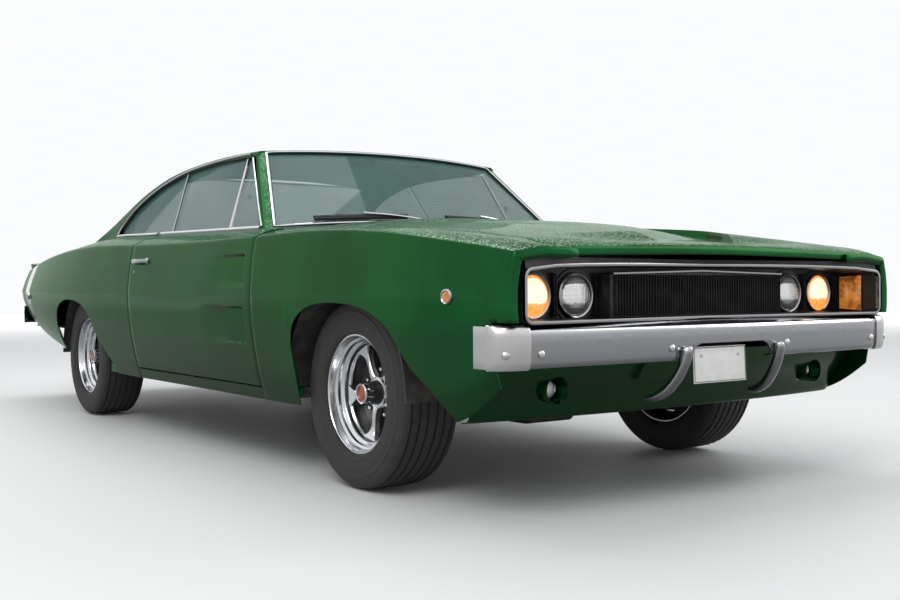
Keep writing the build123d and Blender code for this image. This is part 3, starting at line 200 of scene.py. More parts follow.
class Shader(Nodes):
    """Builds one material around a Principled surface."""

    def __init__(self, name: str) -> None:
        """Start a material of that name with its surface."""
        self.material = bpy.data.materials.new(name)
        self.material.use_nodes = True
        super().__init__(self.material.node_tree)
        output = self.tree.nodes.new("ShaderNodeOutputMaterial")
        self.surface = self.tree.nodes.new("ShaderNodeBsdfPrincipled")
        self.tree.links.new(self.surface.outputs[0], output.inputs["Surface"])

    def set(self, **values: Any) -> None:
        """Set or link inputs of the surface, named with underscores for spaces."""
        for key, value in values.items():
            self.feed(self.surface.inputs[key.replace("_", " ")], value)

    def place(self, stretch: Point = (1, 1, 1)) -> Channel:
        """Object coordinates, scaled by axis."""
        spot = self.node("ShaderNodeTexCoord", {}, {}, "Object")
        if stretch == (1, 1, 1):
            return spot
        return self.node("ShaderNodeMapping", {}, {"Vector": spot, "Scale": stretch})

    def axes(self, vector: Channel) -> tuple[Channel, Channel, Channel]:
        """The three parts of a vector."""
        first = self.node("ShaderNodeSeparateXYZ", {}, {0: vector}, 0)
        outs = first.socket.node.outputs
        return first, Channel(self, outs[1]), Channel(self, outs[2])

    def slope(self) -> Channel:
        """Upward part of the surface's direction."""
        return self.axes(self.node("ShaderNodeNewGeometry", {}, {}, "Normal"))[2]

    def noise(self, scale: float, detail: float, stretch: Point = (1, 1, 1), rough: float = 0.55) -> Channel:
        """Fractal noise over the piece, from 0 to 1."""
        values = {"Vector": self.place(stretch), "Scale": scale, "Detail": detail, "Roughness": rough}
        return self.node("ShaderNodeTexNoise", {}, values)

    def blend(self, part: Any, first: Any, second: Any) -> Channel:
        """Mix two colours by a mask."""
        return self.node("ShaderNodeMix", {"data_type": "RGBA"}, {0: part, 6: first, 7: second}, 2)

    def bump(self, height: Channel, strength: float, distance: float) -> None:
        """Feed the surface's normal from a height."""
        values = {"Height": height, "Strength": strength, "Distance": distance}
        self.set(Normal=self.node("ShaderNodeBump", {}, values))


@dataclass(frozen=True)
class Paint:
    """Deep metallic paint with clear coat, rain beads on top and a white band round the tail, with painted
    shade on faces that look down and the beads painted pale as a painted reflection.
    """

    name: str = "body_paint"
    colour: Colour = (0.004, 0.086, 0.020)
    depth_colour: Colour = (0.003, 0.064, 0.015)
    band_colour: Colour = (0.82, 0.82, 0.78)
    # pale colour of the rain beads: a painted reflection of the sky in the drops
    bead_glint_colour: Colour = (0.58, 0.66, 0.62)
    metallic: float = 0.72
    banded: bool = False
    band_front: float = 2.295
    band_rear: float = 2.445

    def make(self) -> Any:
        """Build the material."""
        s = Shader(self.name)
        flakes = s.noise(900, 1.0)
        cloud = s.noise(3.2, 3.0)
        base = s.blend(cloud.ramp(0.35, 0.7), self.colour, self.depth_colour)
        metal: Any = self.metallic
        if self.banded:
            _, y, z = s.axes(s.place())
            lean = y + (z - 0.70) * 0.10
            band = lean.over(self.band_front) * lean.under(self.band_rear)
            base = s.blend(band, base, self.band_colour)
            metal = (1 - band) * self.metallic
        slope = s.slope()
        up = slope.ramp(0.62, 0.92)
        # painted shade: faces that look down are darkened towards 0.4 of the depth colour, a painted
        # reflection of the dark ground
        base = s.blend(slope.ramp(-0.30, 0.0), tuple(c * 0.4 for c in self.depth_colour), base)
        beads = s.node("ShaderNodeTexVoronoi", {}, {"Vector": s.place(), "Scale": 125.0}, "Distance")
        wet = s.noise(9, 3.0).ramp(0.25, 0.55, 0.35, 1.0)
        drops = beads.ramp(0.28, 0.46, 1.0, 0.0) * up * wet
        # the rain beads are real drops; their pale colour is a painted glint, a reflection of the sky
        base = s.blend(drops * 0.9, base, self.bead_glint_colour)
        s.set(Base_Color=base, Metallic=metal, Roughness=flakes.ramp(0.3, 0.7, 0.24, 0.33), Coat_Weight=0.28,
              Coat_Roughness=0.03, Coat_IOR=1.36, Specular_IOR_Level=0.15, Specular_Tint=(0.10, 0.42, 0.16))
        s.bump(drops, 0.9, 0.0022)
        return s.material


@dataclass(frozen=True)
class Chrome:
    """Polished plating, a little hazed and stained, with a painted reflection: bright where it faces up,
    darker where it faces sideways and down.
    """

    name: str = "bright_trim"
    colour: Colour = (0.80, 0.81, 0.83)
    roughness: float = 0.09
    stain: Colour = (0.34, 0.24, 0.15)
    stained: float = 0.25
    # share of the colour left on faces that look down: painted reflection of dark ground
    foot: float = 0.15

    def make(self) -> Any:
        """Build the material."""
        s = Shader(self.name)
        haze = s.noise(26, 5.0)
        spots = s.noise(60, 6.0, (1, 1, 2.2), 0.7).ramp(0.60, 0.76, 0.0, self.stained)
        # painted reflection: plating bright on faces that look up, darkened by foot on faces that look
        # sideways and down
        lean = s.slope().ramp(-0.35, 0.75)
        plating = s.blend(lean, tuple(c * self.foot for c in self.colour), self.colour)
        s.set(Base_Color=s.blend(spots, plating, self.stain), Metallic=1.0,
              Roughness=haze.ramp(0.3, 0.75, self.roughness, self.roughness + 0.12))
        s.bump(s.noise(9, 2.0), 0.05, 0.002)
        return s.material


@dataclass(frozen=True)
class Coating:
    """Plain coating or moulded material with a mottled colour, dust and grain."""

    name: str
    colour: Colour
    second: Colour
    roughness: float = 0.5
    metallic: float = 0.0
    scale: float = 18.0
    grain: float = 0.3
    grain_scale: float = 240.0

    def make(self) -> Any:
        """Build the material."""
        s = Shader(self.name)
        mottle = s.noise(self.scale, 5.0).ramp(0.38, 0.68)
        s.set(Base_Color=s.blend(mottle, self.colour, self.second), Metallic=self.metallic,
              Roughness=mottle * 0.14 + self.roughness)
        s.bump(s.noise(self.grain_scale, 3.0), self.grain, 0.001)
        return s.material


@dataclass(frozen=True)
class Glazing:
    """Tinted window glass with a faint film of rain."""

    name: str = "window_glass"
    tint: Colour = (0.10, 0.23, 0.20)
    alpha: float = 0.17
    roughness: float = 0.02

    def make(self) -> Any:
        """Build the material."""
        s = Shader(self.name)
        film = s.noise(9, 4.0).ramp(0.3, 0.8)
        rim = s.node("ShaderNodeLayerWeight", {}, {"Blend": 0.25}, "Fresnel")
        s.set(Base_Color=s.blend(film, self.tint, tuple(c * 0.8 for c in self.tint)), IOR=1.5,
              Roughness=film * 0.05 + self.roughness, Alpha=rim.ramp(0.0, 0.9, self.alpha, 0.62),
              Coat_Weight=0.2, Coat_Roughness=0.03)
        drops = s.node("ShaderNodeTexVoronoi", {}, {"Vector": s.place(), "Scale": 190.0}, "Distance")
        s.bump(drops.ramp(0.10, 0.30, 1.0, 0.0), 0.06, 0.0003)
        s.material.surface_render_method = "BLENDED"
        return s.material


@dataclass(frozen=True)
class Lens:
    """Pressed lamp lens with upright flutes, lit where it glows; on the bay's end panels the glow is painted
    light.
    """

    name: str
    colour: Colour
    deep: Colour
    glow: float = 0.0
    flutes: float = 520.0

    def make(self) -> Any:
        """Build the material."""
        s = Shader(self.name)
        x, _, z = s.axes(s.place())
        ribs = (x * self.flutes).wave() * 0.5 + (z * self.flutes * 0.35).wave() * 0.3
        patch = s.noise(30, 3.0)
        tone = s.blend(patch.ramp(0.3, 0.7), self.colour, self.deep)
        s.set(Base_Color=tone, Roughness=patch * 0.08 + 0.06, Coat_Weight=1.0, IOR=1.5)
        if self.glow:
            s.set(Emission_Color=tone, Emission_Strength=self.glow)
        s.bump(ribs, 0.6, 0.0016)
        return s.material


@dataclass(frozen=True)
class HeadlampLens:
    """Round sealed lamp: fluted glass over a bowl, with painted reflection and shade: bright above its
    middle, dark below it and towards the rim.
    """

    name: str
    bright: Colour
    deep: Colour
    glow: float = 0.0
    centre_x: float = 0.691
    centre_z: float = 0.672
    radius: float = 0.064

    def make(self) -> Any:
        """Build the material."""
        s = Shader(self.name)
        x, _, z = s.axes(s.place())
        height = (z - self.centre_z) * (1 / self.radius)
        patch = s.noise(60, 4.0)
        # painted reflection and shade: the lower half of the bowl and its rim take the deep colour, the upper
        # half the bright one
        lower = (height + patch * 0.5).ramp(-0.35, 0.15, 1.0, 0.0)
        across = (x.size() - self.centre_x) * (1 / self.radius)
        rim = (height * height + across * across).ramp(0.45, 0.85)
        deep = (lower + rim * 0.6).under(0.5)
        tone = s.blend((1 - deep) * 0.85 + patch.ramp(0.4, 0.7, 0.0, 0.15), self.bright, self.deep)
        ribs = (x * 900).wave() * 0.5 + (z * 420).wave() * 0.3
        s.set(Base_Color=tone, Roughness=patch * 0.1 + 0.08, Coat_Weight=1.0,
              Metallic=0.0 if self.glow else 0.75)
        if self.glow:
            s.set(Emission_Color=tone, Emission_Strength=self.glow)
        s.bump(ribs, 0.4, 0.001)
        return s.material


@dataclass
class Palette:
    """All finishes of the car, made once and handed out by name."""

    recipes: dict[str, Any] = field(default_factory=dict)
    made: dict[str, Any] = field(default_factory=dict)

    def __post_init__(self) -> None:
        """List the finishes."""
        entries: list[Any] = [
            Paint(),
            Paint("banded_paint", banded=True),
            Chrome(),
            # foot sets how dark the painted reflection leaves chrome faces that look down
            Chrome("wheel_chrome", roughness=0.12, stained=0.12, foot=0.5),
            Chrome("end_cap_metal", (0.76, 0.76, 0.75), 0.26, stained=0.35, foot=0.4),
            Coating("underbody", (0.020, 0.020, 0.021), (0.060, 0.052, 0.043), 0.62),
            Coating("cast_parts", (0.050, 0.046, 0.042), (0.115, 0.085, 0.060), 0.6, 0.55),
            Coating("exhaust_steel", (0.20, 0.185, 0.17), (0.13, 0.085, 0.055), 0.42, 0.85),
            Coating("grille_black", (0.008, 0.008, 0.009), (0.016, 0.016, 0.017), 0.42),
            Coating("bezel_black", (0.011, 0.011, 0.012), (0.020, 0.020, 0.021), 0.30),
            Coating("wheel_black", (0.010, 0.010, 0.010), (0.026, 0.024, 0.021), 0.40),
            Coating("seal_rubber", (0.008, 0.008, 0.008), (0.016, 0.016, 0.016), 0.65),
            Coating("seat_vinyl", (0.010, 0.010, 0.011), (0.020, 0.019, 0.018), 0.42, 0.0, 18, 0.5, 420),
            Coating("cabin_plastic", (0.014, 0.014, 0.014), (0.024, 0.023, 0.022), 0.5, 0.0, 18, 0.4, 420),
            Coating("headliner", (0.020, 0.020, 0.020), (0.030, 0.029, 0.028), 0.9, 0.0, 18, 0.5, 600),
            Coating("cap_badge", (0.26, 0.055, 0.030), (0.36, 0.11, 0.05), 0.35, 0.4),
            Coating("plate_blank", (0.70, 0.70, 0.67), (0.64, 0.64, 0.61), 0.38, scale=30, grain=0.05),
            Coating("plate_edge", (0.10, 0.10, 0.10), (0.16, 0.15, 0.14), 0.45),
            Coating("tyre_rubber", (0.013, 0.013, 0.013), (0.028, 0.026, 0.023), 0.68, scale=40, grain=0.25),
            Glazing(),
            HeadlampLens("lamp_lit", (1.0, 0.86, 0.62), (1.0, 0.30, 0.02), 1.0),
            # the unlit inner lamps carry the painted reflection of the bowl, bright above and dark below
            HeadlampLens("lamp_clear", (0.80, 0.80, 0.79), (0.24, 0.24, 0.24), 0.0, 0.517),
            # painted glow: the bay's end panels are no lamps; this stands in for the lit outer headlamps
            # reflected on them
            Lens("painted_amber_glow", (0.85, 0.30, 0.05), (0.20, 0.05, 0.01), 0.35, flutes=90),
            Lens("lamp_white", (0.80, 0.81, 0.80), (0.55, 0.56, 0.56)),
            Lens("lamp_amber", (0.70, 0.20, 0.02), (0.42, 0.10, 0.01)),
            Lens("lamp_red", (0.55, 0.012, 0.012), (0.34, 0.006, 0.006), 0.10),
        ]
        self.recipes = {entry.name: entry for entry in entries}

    def __getitem__(self, name: str) -> Any:
        """The finish of that name."""
        if name not in self.made:
            self.made[name] = self.recipes[name].make()
        return self.made[name]


PALETTE = Palette()


def spline(points: Outline) -> Callable[[float], float]:
    """Smooth curve through points, straight beyond its ends.

    Args:
        points: places and values, in rising order of place.

    Returns:
        A function from a place to a value.
    """
    xs, ys = np.array(points, float).T
    count = len(xs)
    if count < 3:
        return lambda x: float(np.interp(x, xs, ys))
    gaps = np.diff(xs)
    slopes = np.diff(ys) / gaps
    system = np.zeros((count, count))
    sums = np.zeros(count)
    system[0, 0] = system[-1, -1] = 1
    for i in range(1, count - 1):
        system[i, i - 1: i + 2] = gaps[i - 1], 2 * (gaps[i - 1] + gaps[i]), gaps[i]
        sums[i] = 6 * (slopes[i] - slopes[i - 1])
    bends = np.linalg.solve(system, sums)

    def value(x: float) -> float:
        """Value of the curve at one place."""
        i = int(np.clip(np.searchsorted(xs, x) - 1, 0, count - 2))
        span, far, near = gaps[i], xs[i + 1] - x, x - xs[i]
        if x < xs[0] or x > xs[-1]:
            edge = 0 if x < xs[0] else -1
            tilt = slopes[edge] + (-gaps[0] * bends[1] / 6 if edge == 0 else gaps[-1] * bends[-2] / 6)
            return float(ys[edge] + tilt * (x - xs[edge]))
        curve = (bends[i] * far ** 3 + bends[i + 1] * near ** 3) / (6 * span)
        return float(curve + (ys[i] / span - bends[i] * span / 6) * far
                     + (ys[i + 1] / span - bends[i + 1] * span / 6) * near)

    return value


def spread(marks: Sequence[float], step: float) -> list[float]:
    """Places between marks, no further apart than a step, with every mark kept.

    Args:
        marks: places that must be there, in order.
        step: largest distance between neighbours.

    Returns:
        All places in order.
    """
    places = [float(marks[0])]
    for low, high in zip(marks, marks[1:]):
        count = max(1, math.ceil(abs(high - low) / step))
        places += [low + (high - low) * k / count for k in range(1, count + 1)]
    return places


def smooth_path(corners: Sequence[Sequence[float]], per: int, reach: int) -> np.ndarray:
    """Dense line through corners with each corner rounded.

    Args:
        corners: points of the line.
        per: samples on each straight.
        reach: how many samples to each side the rounding takes in.

    Returns:
        The samples, with the first and last point kept.
    """
    line = [np.array(corners[0], float)]
    for low, high in zip(corners, corners[1:]):
        low, high = np.array(low, float), np.array(high, float)
        line += [low + (high - low) * k / per for k in range(1, per + 1)]
    dense = np.array(line)
    head = [2 * dense[0] - dense[k] for k in range(reach, 0, -1)]
    foot = [2 * dense[-1] - dense[-1 - k] for k in range(1, reach + 1)]
    padded = np.vstack([head, dense, foot])
    weights = np.array([reach + 1 - abs(k) for k in range(-reach, reach + 1)], float)
    weights /= weights.sum()
    return sum(w * padded[k: k + len(dense)] for k, w in enumerate(weights))


class Shop:
    """Modelling steps shared by every sub-assembly."""

    @staticmethod
    def take(*objects: Any) -> None:
        """Select only these objects, the first one active."""
        if bpy.context.object and bpy.context.object.mode != "OBJECT":
            bpy.ops.object.mode_set(mode="OBJECT")
        bpy.ops.object.select_all(action="DESELECT")
        for obj in objects:
            obj.select_set(True)
        if objects:
            bpy.context.view_layer.objects.active = objects[0]

    @staticmethod
    def named(name: str) -> Any:
        """The object just made, under its name."""
        bpy.context.object.name = bpy.context.object.data.name = name
        return bpy.context.object

    @classmethod
    @contextmanager
    def editing(cls, obj: Any) -> Iterator[None]:
        """Edit mode with all of a mesh selected, left with its faces pointing outwards."""
        cls.take(obj)
        bpy.ops.object.mode_set(mode="EDIT")
        bpy.ops.mesh.select_all(action="SELECT")
        yield
        bpy.ops.mesh.select_all(action="SELECT")
        bpy.ops.mesh.normals_make_consistent(inside=False)
        bpy.ops.object.mode_set(mode="OBJECT")

    @classmethod
    def settle(cls, obj: Any) -> Any:
        """Put an object's place, turn and size into its mesh."""
        cls.take(obj)
        bpy.ops.object.transform_apply(location=True, rotation=True, scale=True)
        return obj

    @classmethod
    def sheet(cls, name: str, cols: int, rows: int, point: Callable[[int, int], Sequence[float]]) -> Any:
        """A surface drawn over a grid.

        Args:
            name: the piece's name.
            cols: number of points along its first direction.
            rows: number of points along its second direction.
            point: place in millimetres of the point in a column and row.

        Returns:
            The new object.
        """
        cls.take()
        bpy.ops.mesh.primitive_grid_add(x_subdivisions=cols - 1, y_subdivisions=rows - 1, size=2)
        obj = cls.named(name)
        for vertex in obj.data.vertices:
            col = round((vertex.co.x + 1) / 2 * (cols - 1))
            row = round((vertex.co.y + 1) / 2 * (rows - 1))
            vertex.co = Vector(point(col, row)) * MM
        obj.data.update()
        return obj

    @classmethod
    def skin(cls, name: str, us: Sequence[float], vs: Sequence[Any], point: Callable[[float, Any], Any],
             away: Sequence[float], wall: float) -> Any:
        """A walled sheet.

        Args:
            name: the piece's name.
            us, vs: values along its two directions.
            point: place in millimetres for a value of each.
            away: point in millimetres that its faces turn from.
            wall: its thickness, inwards.

        Returns:
            The new object.
        """
        sheet = cls.sheet(name, len(us), len(vs), lambda col, row: point(us[col], vs[row]))
        return cls.thicken(face_out(sheet, away), wall)

    @classmethod
    def tube(cls, name: str, sections: Sequence[Sequence[Sequence[float]]]) -> Any:
        """A closed form through outlines that have the same number of points, its ends filled."""
        count = len(sections[0])
        sheet = cls.sheet(name, len(sections), count + 1, lambda col, row: sections[col][row % count])
        return cls.weld(sheet)

    @classmethod
    def ring(cls, name: str, points: Sequence[Sequence[float]], fill: bool = False) -> Any:
        """A closed outline, filled or not, from a circle whose points are set in place."""
        cls.take()
        bpy.ops.mesh.primitive_circle_add(vertices=len(points), fill_type="NGON" if fill else "NOTHING")
        obj = cls.named(name)
        for vertex, place in zip(obj.data.vertices, points):
            vertex.co = Vector(place) * MM
        obj.data.update()
        return obj

    @classmethod
    def spin(cls, name: str, profile: Outline, centre: Point, axis: Point, steps: int) -> Any:
        """A turned piece.

        Args:
            name: the piece's name.
            profile: closed outline, each point as distance along the axis and radius.
            centre: point on the axis from which the distances count.
            axis: direction of the axis.
            steps: segments round the axis.

        Returns:
            The new object.
        """
        line = Vector(axis).normalized()
        across = line.orthogonal().normalized()
        obj = cls.ring(name, [Vector(centre) + line * a + across * r for a, r in profile])
        with cls.editing(obj):
            bpy.ops.mesh.spin(steps=steps, angle=math.tau, center=Vector(centre) * MM, axis=line)
            bpy.ops.mesh.select_all(action="SELECT")
            bpy.ops.mesh.remove_doubles(threshold=DOUBLES)
            bpy.ops.mesh.dissolve_degenerate(threshold=SLIVERS)
        return obj

    @classmethod
    def turned(cls, name: str, finish: str, profiles: Sequence[Outline], seats: Sequence[Seat], steps: int,
               replaces: Sequence[str] = ()) -> Any:
        """Turned pieces that repeat, joined and dressed.

        Args:
            name: the joined piece's name.
            finish: name of its finish.
            profiles: outlines of the pieces on each seat.
            seats: centre and axis of each.
            steps: segments round an axis.
            replaces: CAD nodes it stands for.

        Returns:
            The piece.
        """
        pieces = [cls.spin(name, line, centre, axis, steps) for centre, axis in seats for line in profiles]
        return cls.dress(cls.join(name, *pieces), finish, replaces=replaces)

    @classmethod
    def prism(cls, name: str, outline: Sequence[Sequence[float]], along: Sequence[float]) -> Any:
        """A flat outline drawn out along a vector, in millimetres."""
        obj = cls.ring(name, outline, fill=True)
        with cls.editing(obj):
            bpy.ops.mesh.extrude_region_move(TRANSFORM_OT_translate={"value": Vector(along) * MM})
        return obj

    @classmethod
    def box(cls, name: str, low: Point, high: Point, rounding: float = 0.0, segments: int = 3) -> Any:
        """A block between two corners, its edges rounded if asked."""
        cls.take()
        middle = (Vector(low) + Vector(high)) / 2 * MM
        bpy.ops.mesh.primitive_cube_add(size=1, location=middle, scale=(Vector(high) - Vector(low)) * MM)
        obj = cls.settle(cls.named(name))
        return cls.bevel(obj, rounding, segments) if rounding else obj

    @classmethod
    def rod(cls, name: str, start: Sequence[float], end: Sequence[float], radius: float,
            sides: int = 24) -> Any:
        """A round bar between two points."""
        cls.take()
        run = Vector(end) - Vector(start)
        bpy.ops.mesh.primitive_cone_add(
            vertices=sides, radius1=radius * MM, radius2=radius * MM, depth=run.length * MM,
            location=(Vector(start) + run / 2) * MM, rotation=run.to_track_quat("Z", "Y").to_euler())
        return cls.settle(cls.named(name))

    @classmethod
    def pipe(cls, name: str, path: Sequence[Sequence[float]], section: Outline, closed: bool,
             up: Sequence[float]) -> Any:
        """A section swept along a path.

        Args:
            name: the piece's name.
            path: points of the path in millimetres.
            section: closed outline, each point across the path and along the up direction.
            closed: whether the path ends where it starts.
            up: direction that the section's second measure follows.

        Returns:
            The new object, its ends filled.
        """
        line = [Vector(p) for p in path]
        count = len(line)
        rings = []
        for i, here in enumerate(line):
            last = line[i - 1] if closed or i else line[i]
            following = line[(i + 1) % count] if closed or i < count - 1 else line[i]
            forward = (following - last).normalized()
            across = forward.cross(Vector(up)).normalized()
            lift = across.cross(forward).normalized()
            rings.append([here + across * a + lift * b for a, b in section])
        if closed:
            rings.append(rings[0])
        return cls.tube(name, rings)

    @classmethod
    def weld(cls, obj: Any, fill: bool = True) -> Any:
        """Merge doubles, close open ends and point the faces outwards."""
        with cls.editing(obj):
            bpy.ops.mesh.select_mode(type="EDGE")
            bpy.ops.mesh.select_all(action="SELECT")
            bpy.ops.mesh.remove_doubles(threshold=DOUBLES)
            if fill:
                bpy.ops.mesh.select_all(action="DESELECT")
                bpy.ops.mesh.select_non_manifold(extend=False, use_wire=False, use_multi_face=False,
                                                 use_non_contiguous=False, use_verts=False)
                bpy.ops.mesh.edge_face_add()
                bpy.ops.mesh.select_all(action="SELECT")
                bpy.ops.mesh.fill_holes(sides=0)
            bpy.ops.mesh.select_mode(type="VERT")
        return obj

    @classmethod
    def modify(cls, obj: Any, kind: str, **settings: Any) -> Any:
        """Add a modifier and apply it."""
        cls.take(obj)
        step = obj.modifiers.new(kind.lower(), kind)
        for key, value in settings.items():
            setattr(step, key, value)
        bpy.ops.object.modifier_apply(modifier=step.name)
        return obj

    @classmethod
    def bevel(cls, obj: Any, width: float, segments: int = 2, angle: float = 40) -> Any:
        """Round the sharp edges."""
        return cls.modify(obj, "BEVEL", width=width * MM, segments=segments, limit_method="ANGLE",
                          angle_limit=math.radians(angle))

    @classmethod
    def thicken(cls, obj: Any, thickness: float) -> Any:
        """Give a sheet its wall, inwards."""
        return cls.modify(obj, "SOLIDIFY", thickness=thickness * MM, offset=-1.0, use_quality_normals=True)

    @classmethod
    def cut(cls, obj: Any, tool: Any) -> Any:
        """Cut an object by another, which is used up."""
        cls.modify(obj, "BOOLEAN", object=tool, operation="DIFFERENCE", solver="EXACT")
        bpy.data.objects.remove(tool, do_unlink=True)
        return obj

    @classmethod
    def join(cls, name: str, *objects: Any) -> Any:
        """Join objects into the first one."""
        cls.take(*objects)
        if len(objects) > 1:
            bpy.ops.object.join()
        objects[0].name = objects[0].data.name = name
        return objects[0]

    @classmethod
    def copy(cls, obj: Any, name: str, move: Matrix) -> Any:
        """A copy with its own mesh, moved by a matrix."""
        cls.take(obj)
        bpy.ops.object.duplicate(linked=False)
        twin = cls.named(name)
        twin.data.transform(move)
        return twin

    @classmethod
    def dress(cls, obj: Any, finish: str, body: str = "body", angle: Finish = Finish.PANEL,
              replaces: Sequence[str] = ()) -> Any:
        """Give a finished piece its material, shading and place in the frame.

        Args:
            obj: the piece.
            finish: name of its finish.
            body: CAD body it moves with.
            angle: how sharp an edge stays sharp.
            replaces: CAD nodes it stands for.

        Returns:
            The piece.
        """
        cls.take(obj)
        bpy.ops.object.shade_smooth_by_angle(angle=math.radians(angle.value))
        obj.data.materials.clear()
        obj.data.materials.append(PALETTE[finish])
        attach(obj, body)
        if replaces:
            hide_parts(*replaces)
        log.info("piece %s: %d faces, %s on %s", obj.name, len(obj.data.polygons), finish, body)
        return obj


# Lengthwise lines of the body, each as places along the car and a measure in millimetres
CREASE_X = spline([(-2616, 900), (-2351, 934), (-1951, 954), (-1501, 963), (-1086, 968), (-396, 964),
                   (293, 968), (995, 974), (1603, 962), (2150, 926), (2580, 880)])
CREASE_Z = spline([(-2616, 692), (-1086, 693), (293, 700), (2580, 702)])
LOW_X = spline([(-2616, 890), (-2351, 918), (-1951, 938), (-1501, 946), (-1086, 950), (293, 950), (995, 952),
                (1603, 934), (2150, 890), (2580, 850)])
LOW_Z = spline([(-2616, 560), (-2450, 505), (-2300, 482), (-2100, 480), (-1500, 480), (-700, 480), (100, 480),
                (900, 480), (1500, 482), (1800, 492), (2150, 520), (2400, 552), (2580, 585)])
SILL_X = spline([(-2616, 872), (-2351, 884), (-1951, 900), (-1501, 906), (-1086, 905), (293, 900), (995, 900),
                 (1603, 880), (2150, 850), (2580, 828)])
SILL_Z = spline([(-2616, 470), (-2351, 300), (-2250, 284), (-1951, 276), (-1501, 272), (-1086, 268),
                 (293, 268), (995, 272), (1400, 300), (1593, 352), (1692, 370), (2206, 450), (2504, 518),
                 (2580, 532)])
SHOULDER_X = spline([(-2616, 878), (-2486, 896), (-2330, 914), (-1980, 929), (-1450, 938), (-1086, 943),
                     (-396, 937), (293, 934), (995, 930), (1603, 905), (2150, 868), (2580, 828)])
SHOULDER_Z = spline([(-2616, 801), (-2486, 821), (-2330, 843), (-2139, 868), (-1980, 884), (-1731, 901),
                     (-1450, 909), (-1172, 906), (-700, 903), (-396, 905), (293, 918), (995, 935),
                     (1603, 922), (2150, 885), (2580, 842)])
FENDER_TOP_Z = spline([(-2616, 812), (-2532, 836), (-2401, 855), (-2235, 877), (-2077, 890), (-1838, 906),
                       (-1600, 918), (-1360, 930), (-1086, 939)])
QUARTER_TOP_X = spline([(293, 806), (620, 800), (995, 792), (1335, 774), (1603, 760), (2150, 746),
                        (2580, 738)])
QUARTER_TOP_Z = spline([(293, 974), (620, 983), (995, 988), (1335, 966), (1603, 946), (2150, 906),
                        (2580, 872)])
RIDGE_Z = spline([(-596, 1312), (-197, 1324), (233, 1312), (483, 1286), (703, 1236), (903, 1160),
                  (1103, 1062), (1335, 988), (1575, 953)])
RIDGE_X = spline([(-596, 653), (-197, 648), (233, 652), (483, 664), (703, 686), (903, 720), (1103, 762),
                  (1335, 780), (1575, 742)])
CROWN_Z = spline([(-596, 1338), (-197, 1351), (233, 1348), (530, 1326), (703, 1266), (903, 1184),
                  (1103, 1078), (1335, 998), (1575, 960)])

# How far the side windows lean in for each millimetre of height
SIDE_SLOPE = 0.437

# Opening over a wheel as offsets from the axle, rearwards positive, and heights
ARCH = smooth_path([(-640, 296), (-600, 330), (-527, 396), (-450, 446), (-402, 506), (-345, 578), (-247, 625),
                    (-122, 648), (37, 652), (150, 641), (240, 606), (292, 556), (308, 500)], 10, 6)


def fender_gap_x(y: float) -> float:
    """Distance of the gap between hood and fender from the middle."""
    places = [-2616, -2608, -2600, -2590, -2575, -2540, -2500, -1000]
    return float(np.interp(y, places, [642, 652, 686, 728, 746, 755, 760, 762]))


def side_line_x(z: float) -> float:
    """Outer face of the pillars and side glass at a height."""
    return 811 - SIDE_SLOPE * (z - 950)


def belt_z(y: float) -> float:
    """Height of the foot of the door glass."""
    return 942 + 32 * (y - DOOR_FRONT_Y) / (DOOR_REAR_Y - DOOR_FRONT_Y)


def panel_top(y: float) -> tuple[float, float]:
    """Inner end of the body side's top face: fender, door or quarter panel."""
    if y < DOOR_FRONT_Y:
        return fender_gap_x(y), FENDER_TOP_Z(y)
    if y < DOOR_REAR_Y:
        return side_line_x(belt_z(y)) + 6, belt_z(y)
    return QUARTER_TOP_X(y), QUARTER_TOP_Z(y)


PER = 20


def side_section(y: float) -> np.ndarray:
    """Section of the body side from sill to top, evenly sampled between its corners.

    Args:
        y: place along the car.

    Returns:
        Rows of distance from the middle and height.
    """
    sill = np.array([SILL_X(y), SILL_Z(y)])
    low = np.array([LOW_X(y), max(LOW_Z(y), sill[1] + 40)])
    crease = np.array([CREASE_X(y), CREASE_Z(y)])
    shoulder = np.array([SHOULDER_X(y), SHOULDER_Z(y)])
    top = np.array(panel_top(y))
    corners = [sill, (sill + low) / 2 + (5, 0), low, (low + crease) / 2 + (5, 0), crease,
               (crease + shoulder) / 2 + (4, 0), shoulder, (shoulder + top) / 2 + (0, 9), top]
    return smooth_path(corners, PER, 4)


UPPER = [0, 2, 4, 7, 12, 18, 24, 30, 34, 36, 38, 39, 40, 41, 42, 44, 46, 50, 56, 62, 68, 74, 80]
LOWER = [0, 0.02, 0.09, 0.17, 0.25, 0.33, 0.41, 0.49, 0.57, 0.65, 0.73, 0.80, 0.86, 0.91, 0.95, 0.98]
DOOR_LOWER = [322, 326, 356, 388, 420, 450, 474, 484, 492, 520, 556, 592, 624, 632, 640, 660, 674, 684, 690]
DOOR_UPPER = [0, 2, 4, 6, 9, 14, 20, 24, 26, 28, 31, 34, 36, 38, 39, 40, 41, 42, 44, 46, 50, 56, 62, 68, 74,
              80]


@dataclass(frozen=True)
class Column:
    """One upright line of a side panel."""

    y: float
    foot: float
    depth: float = 0.0


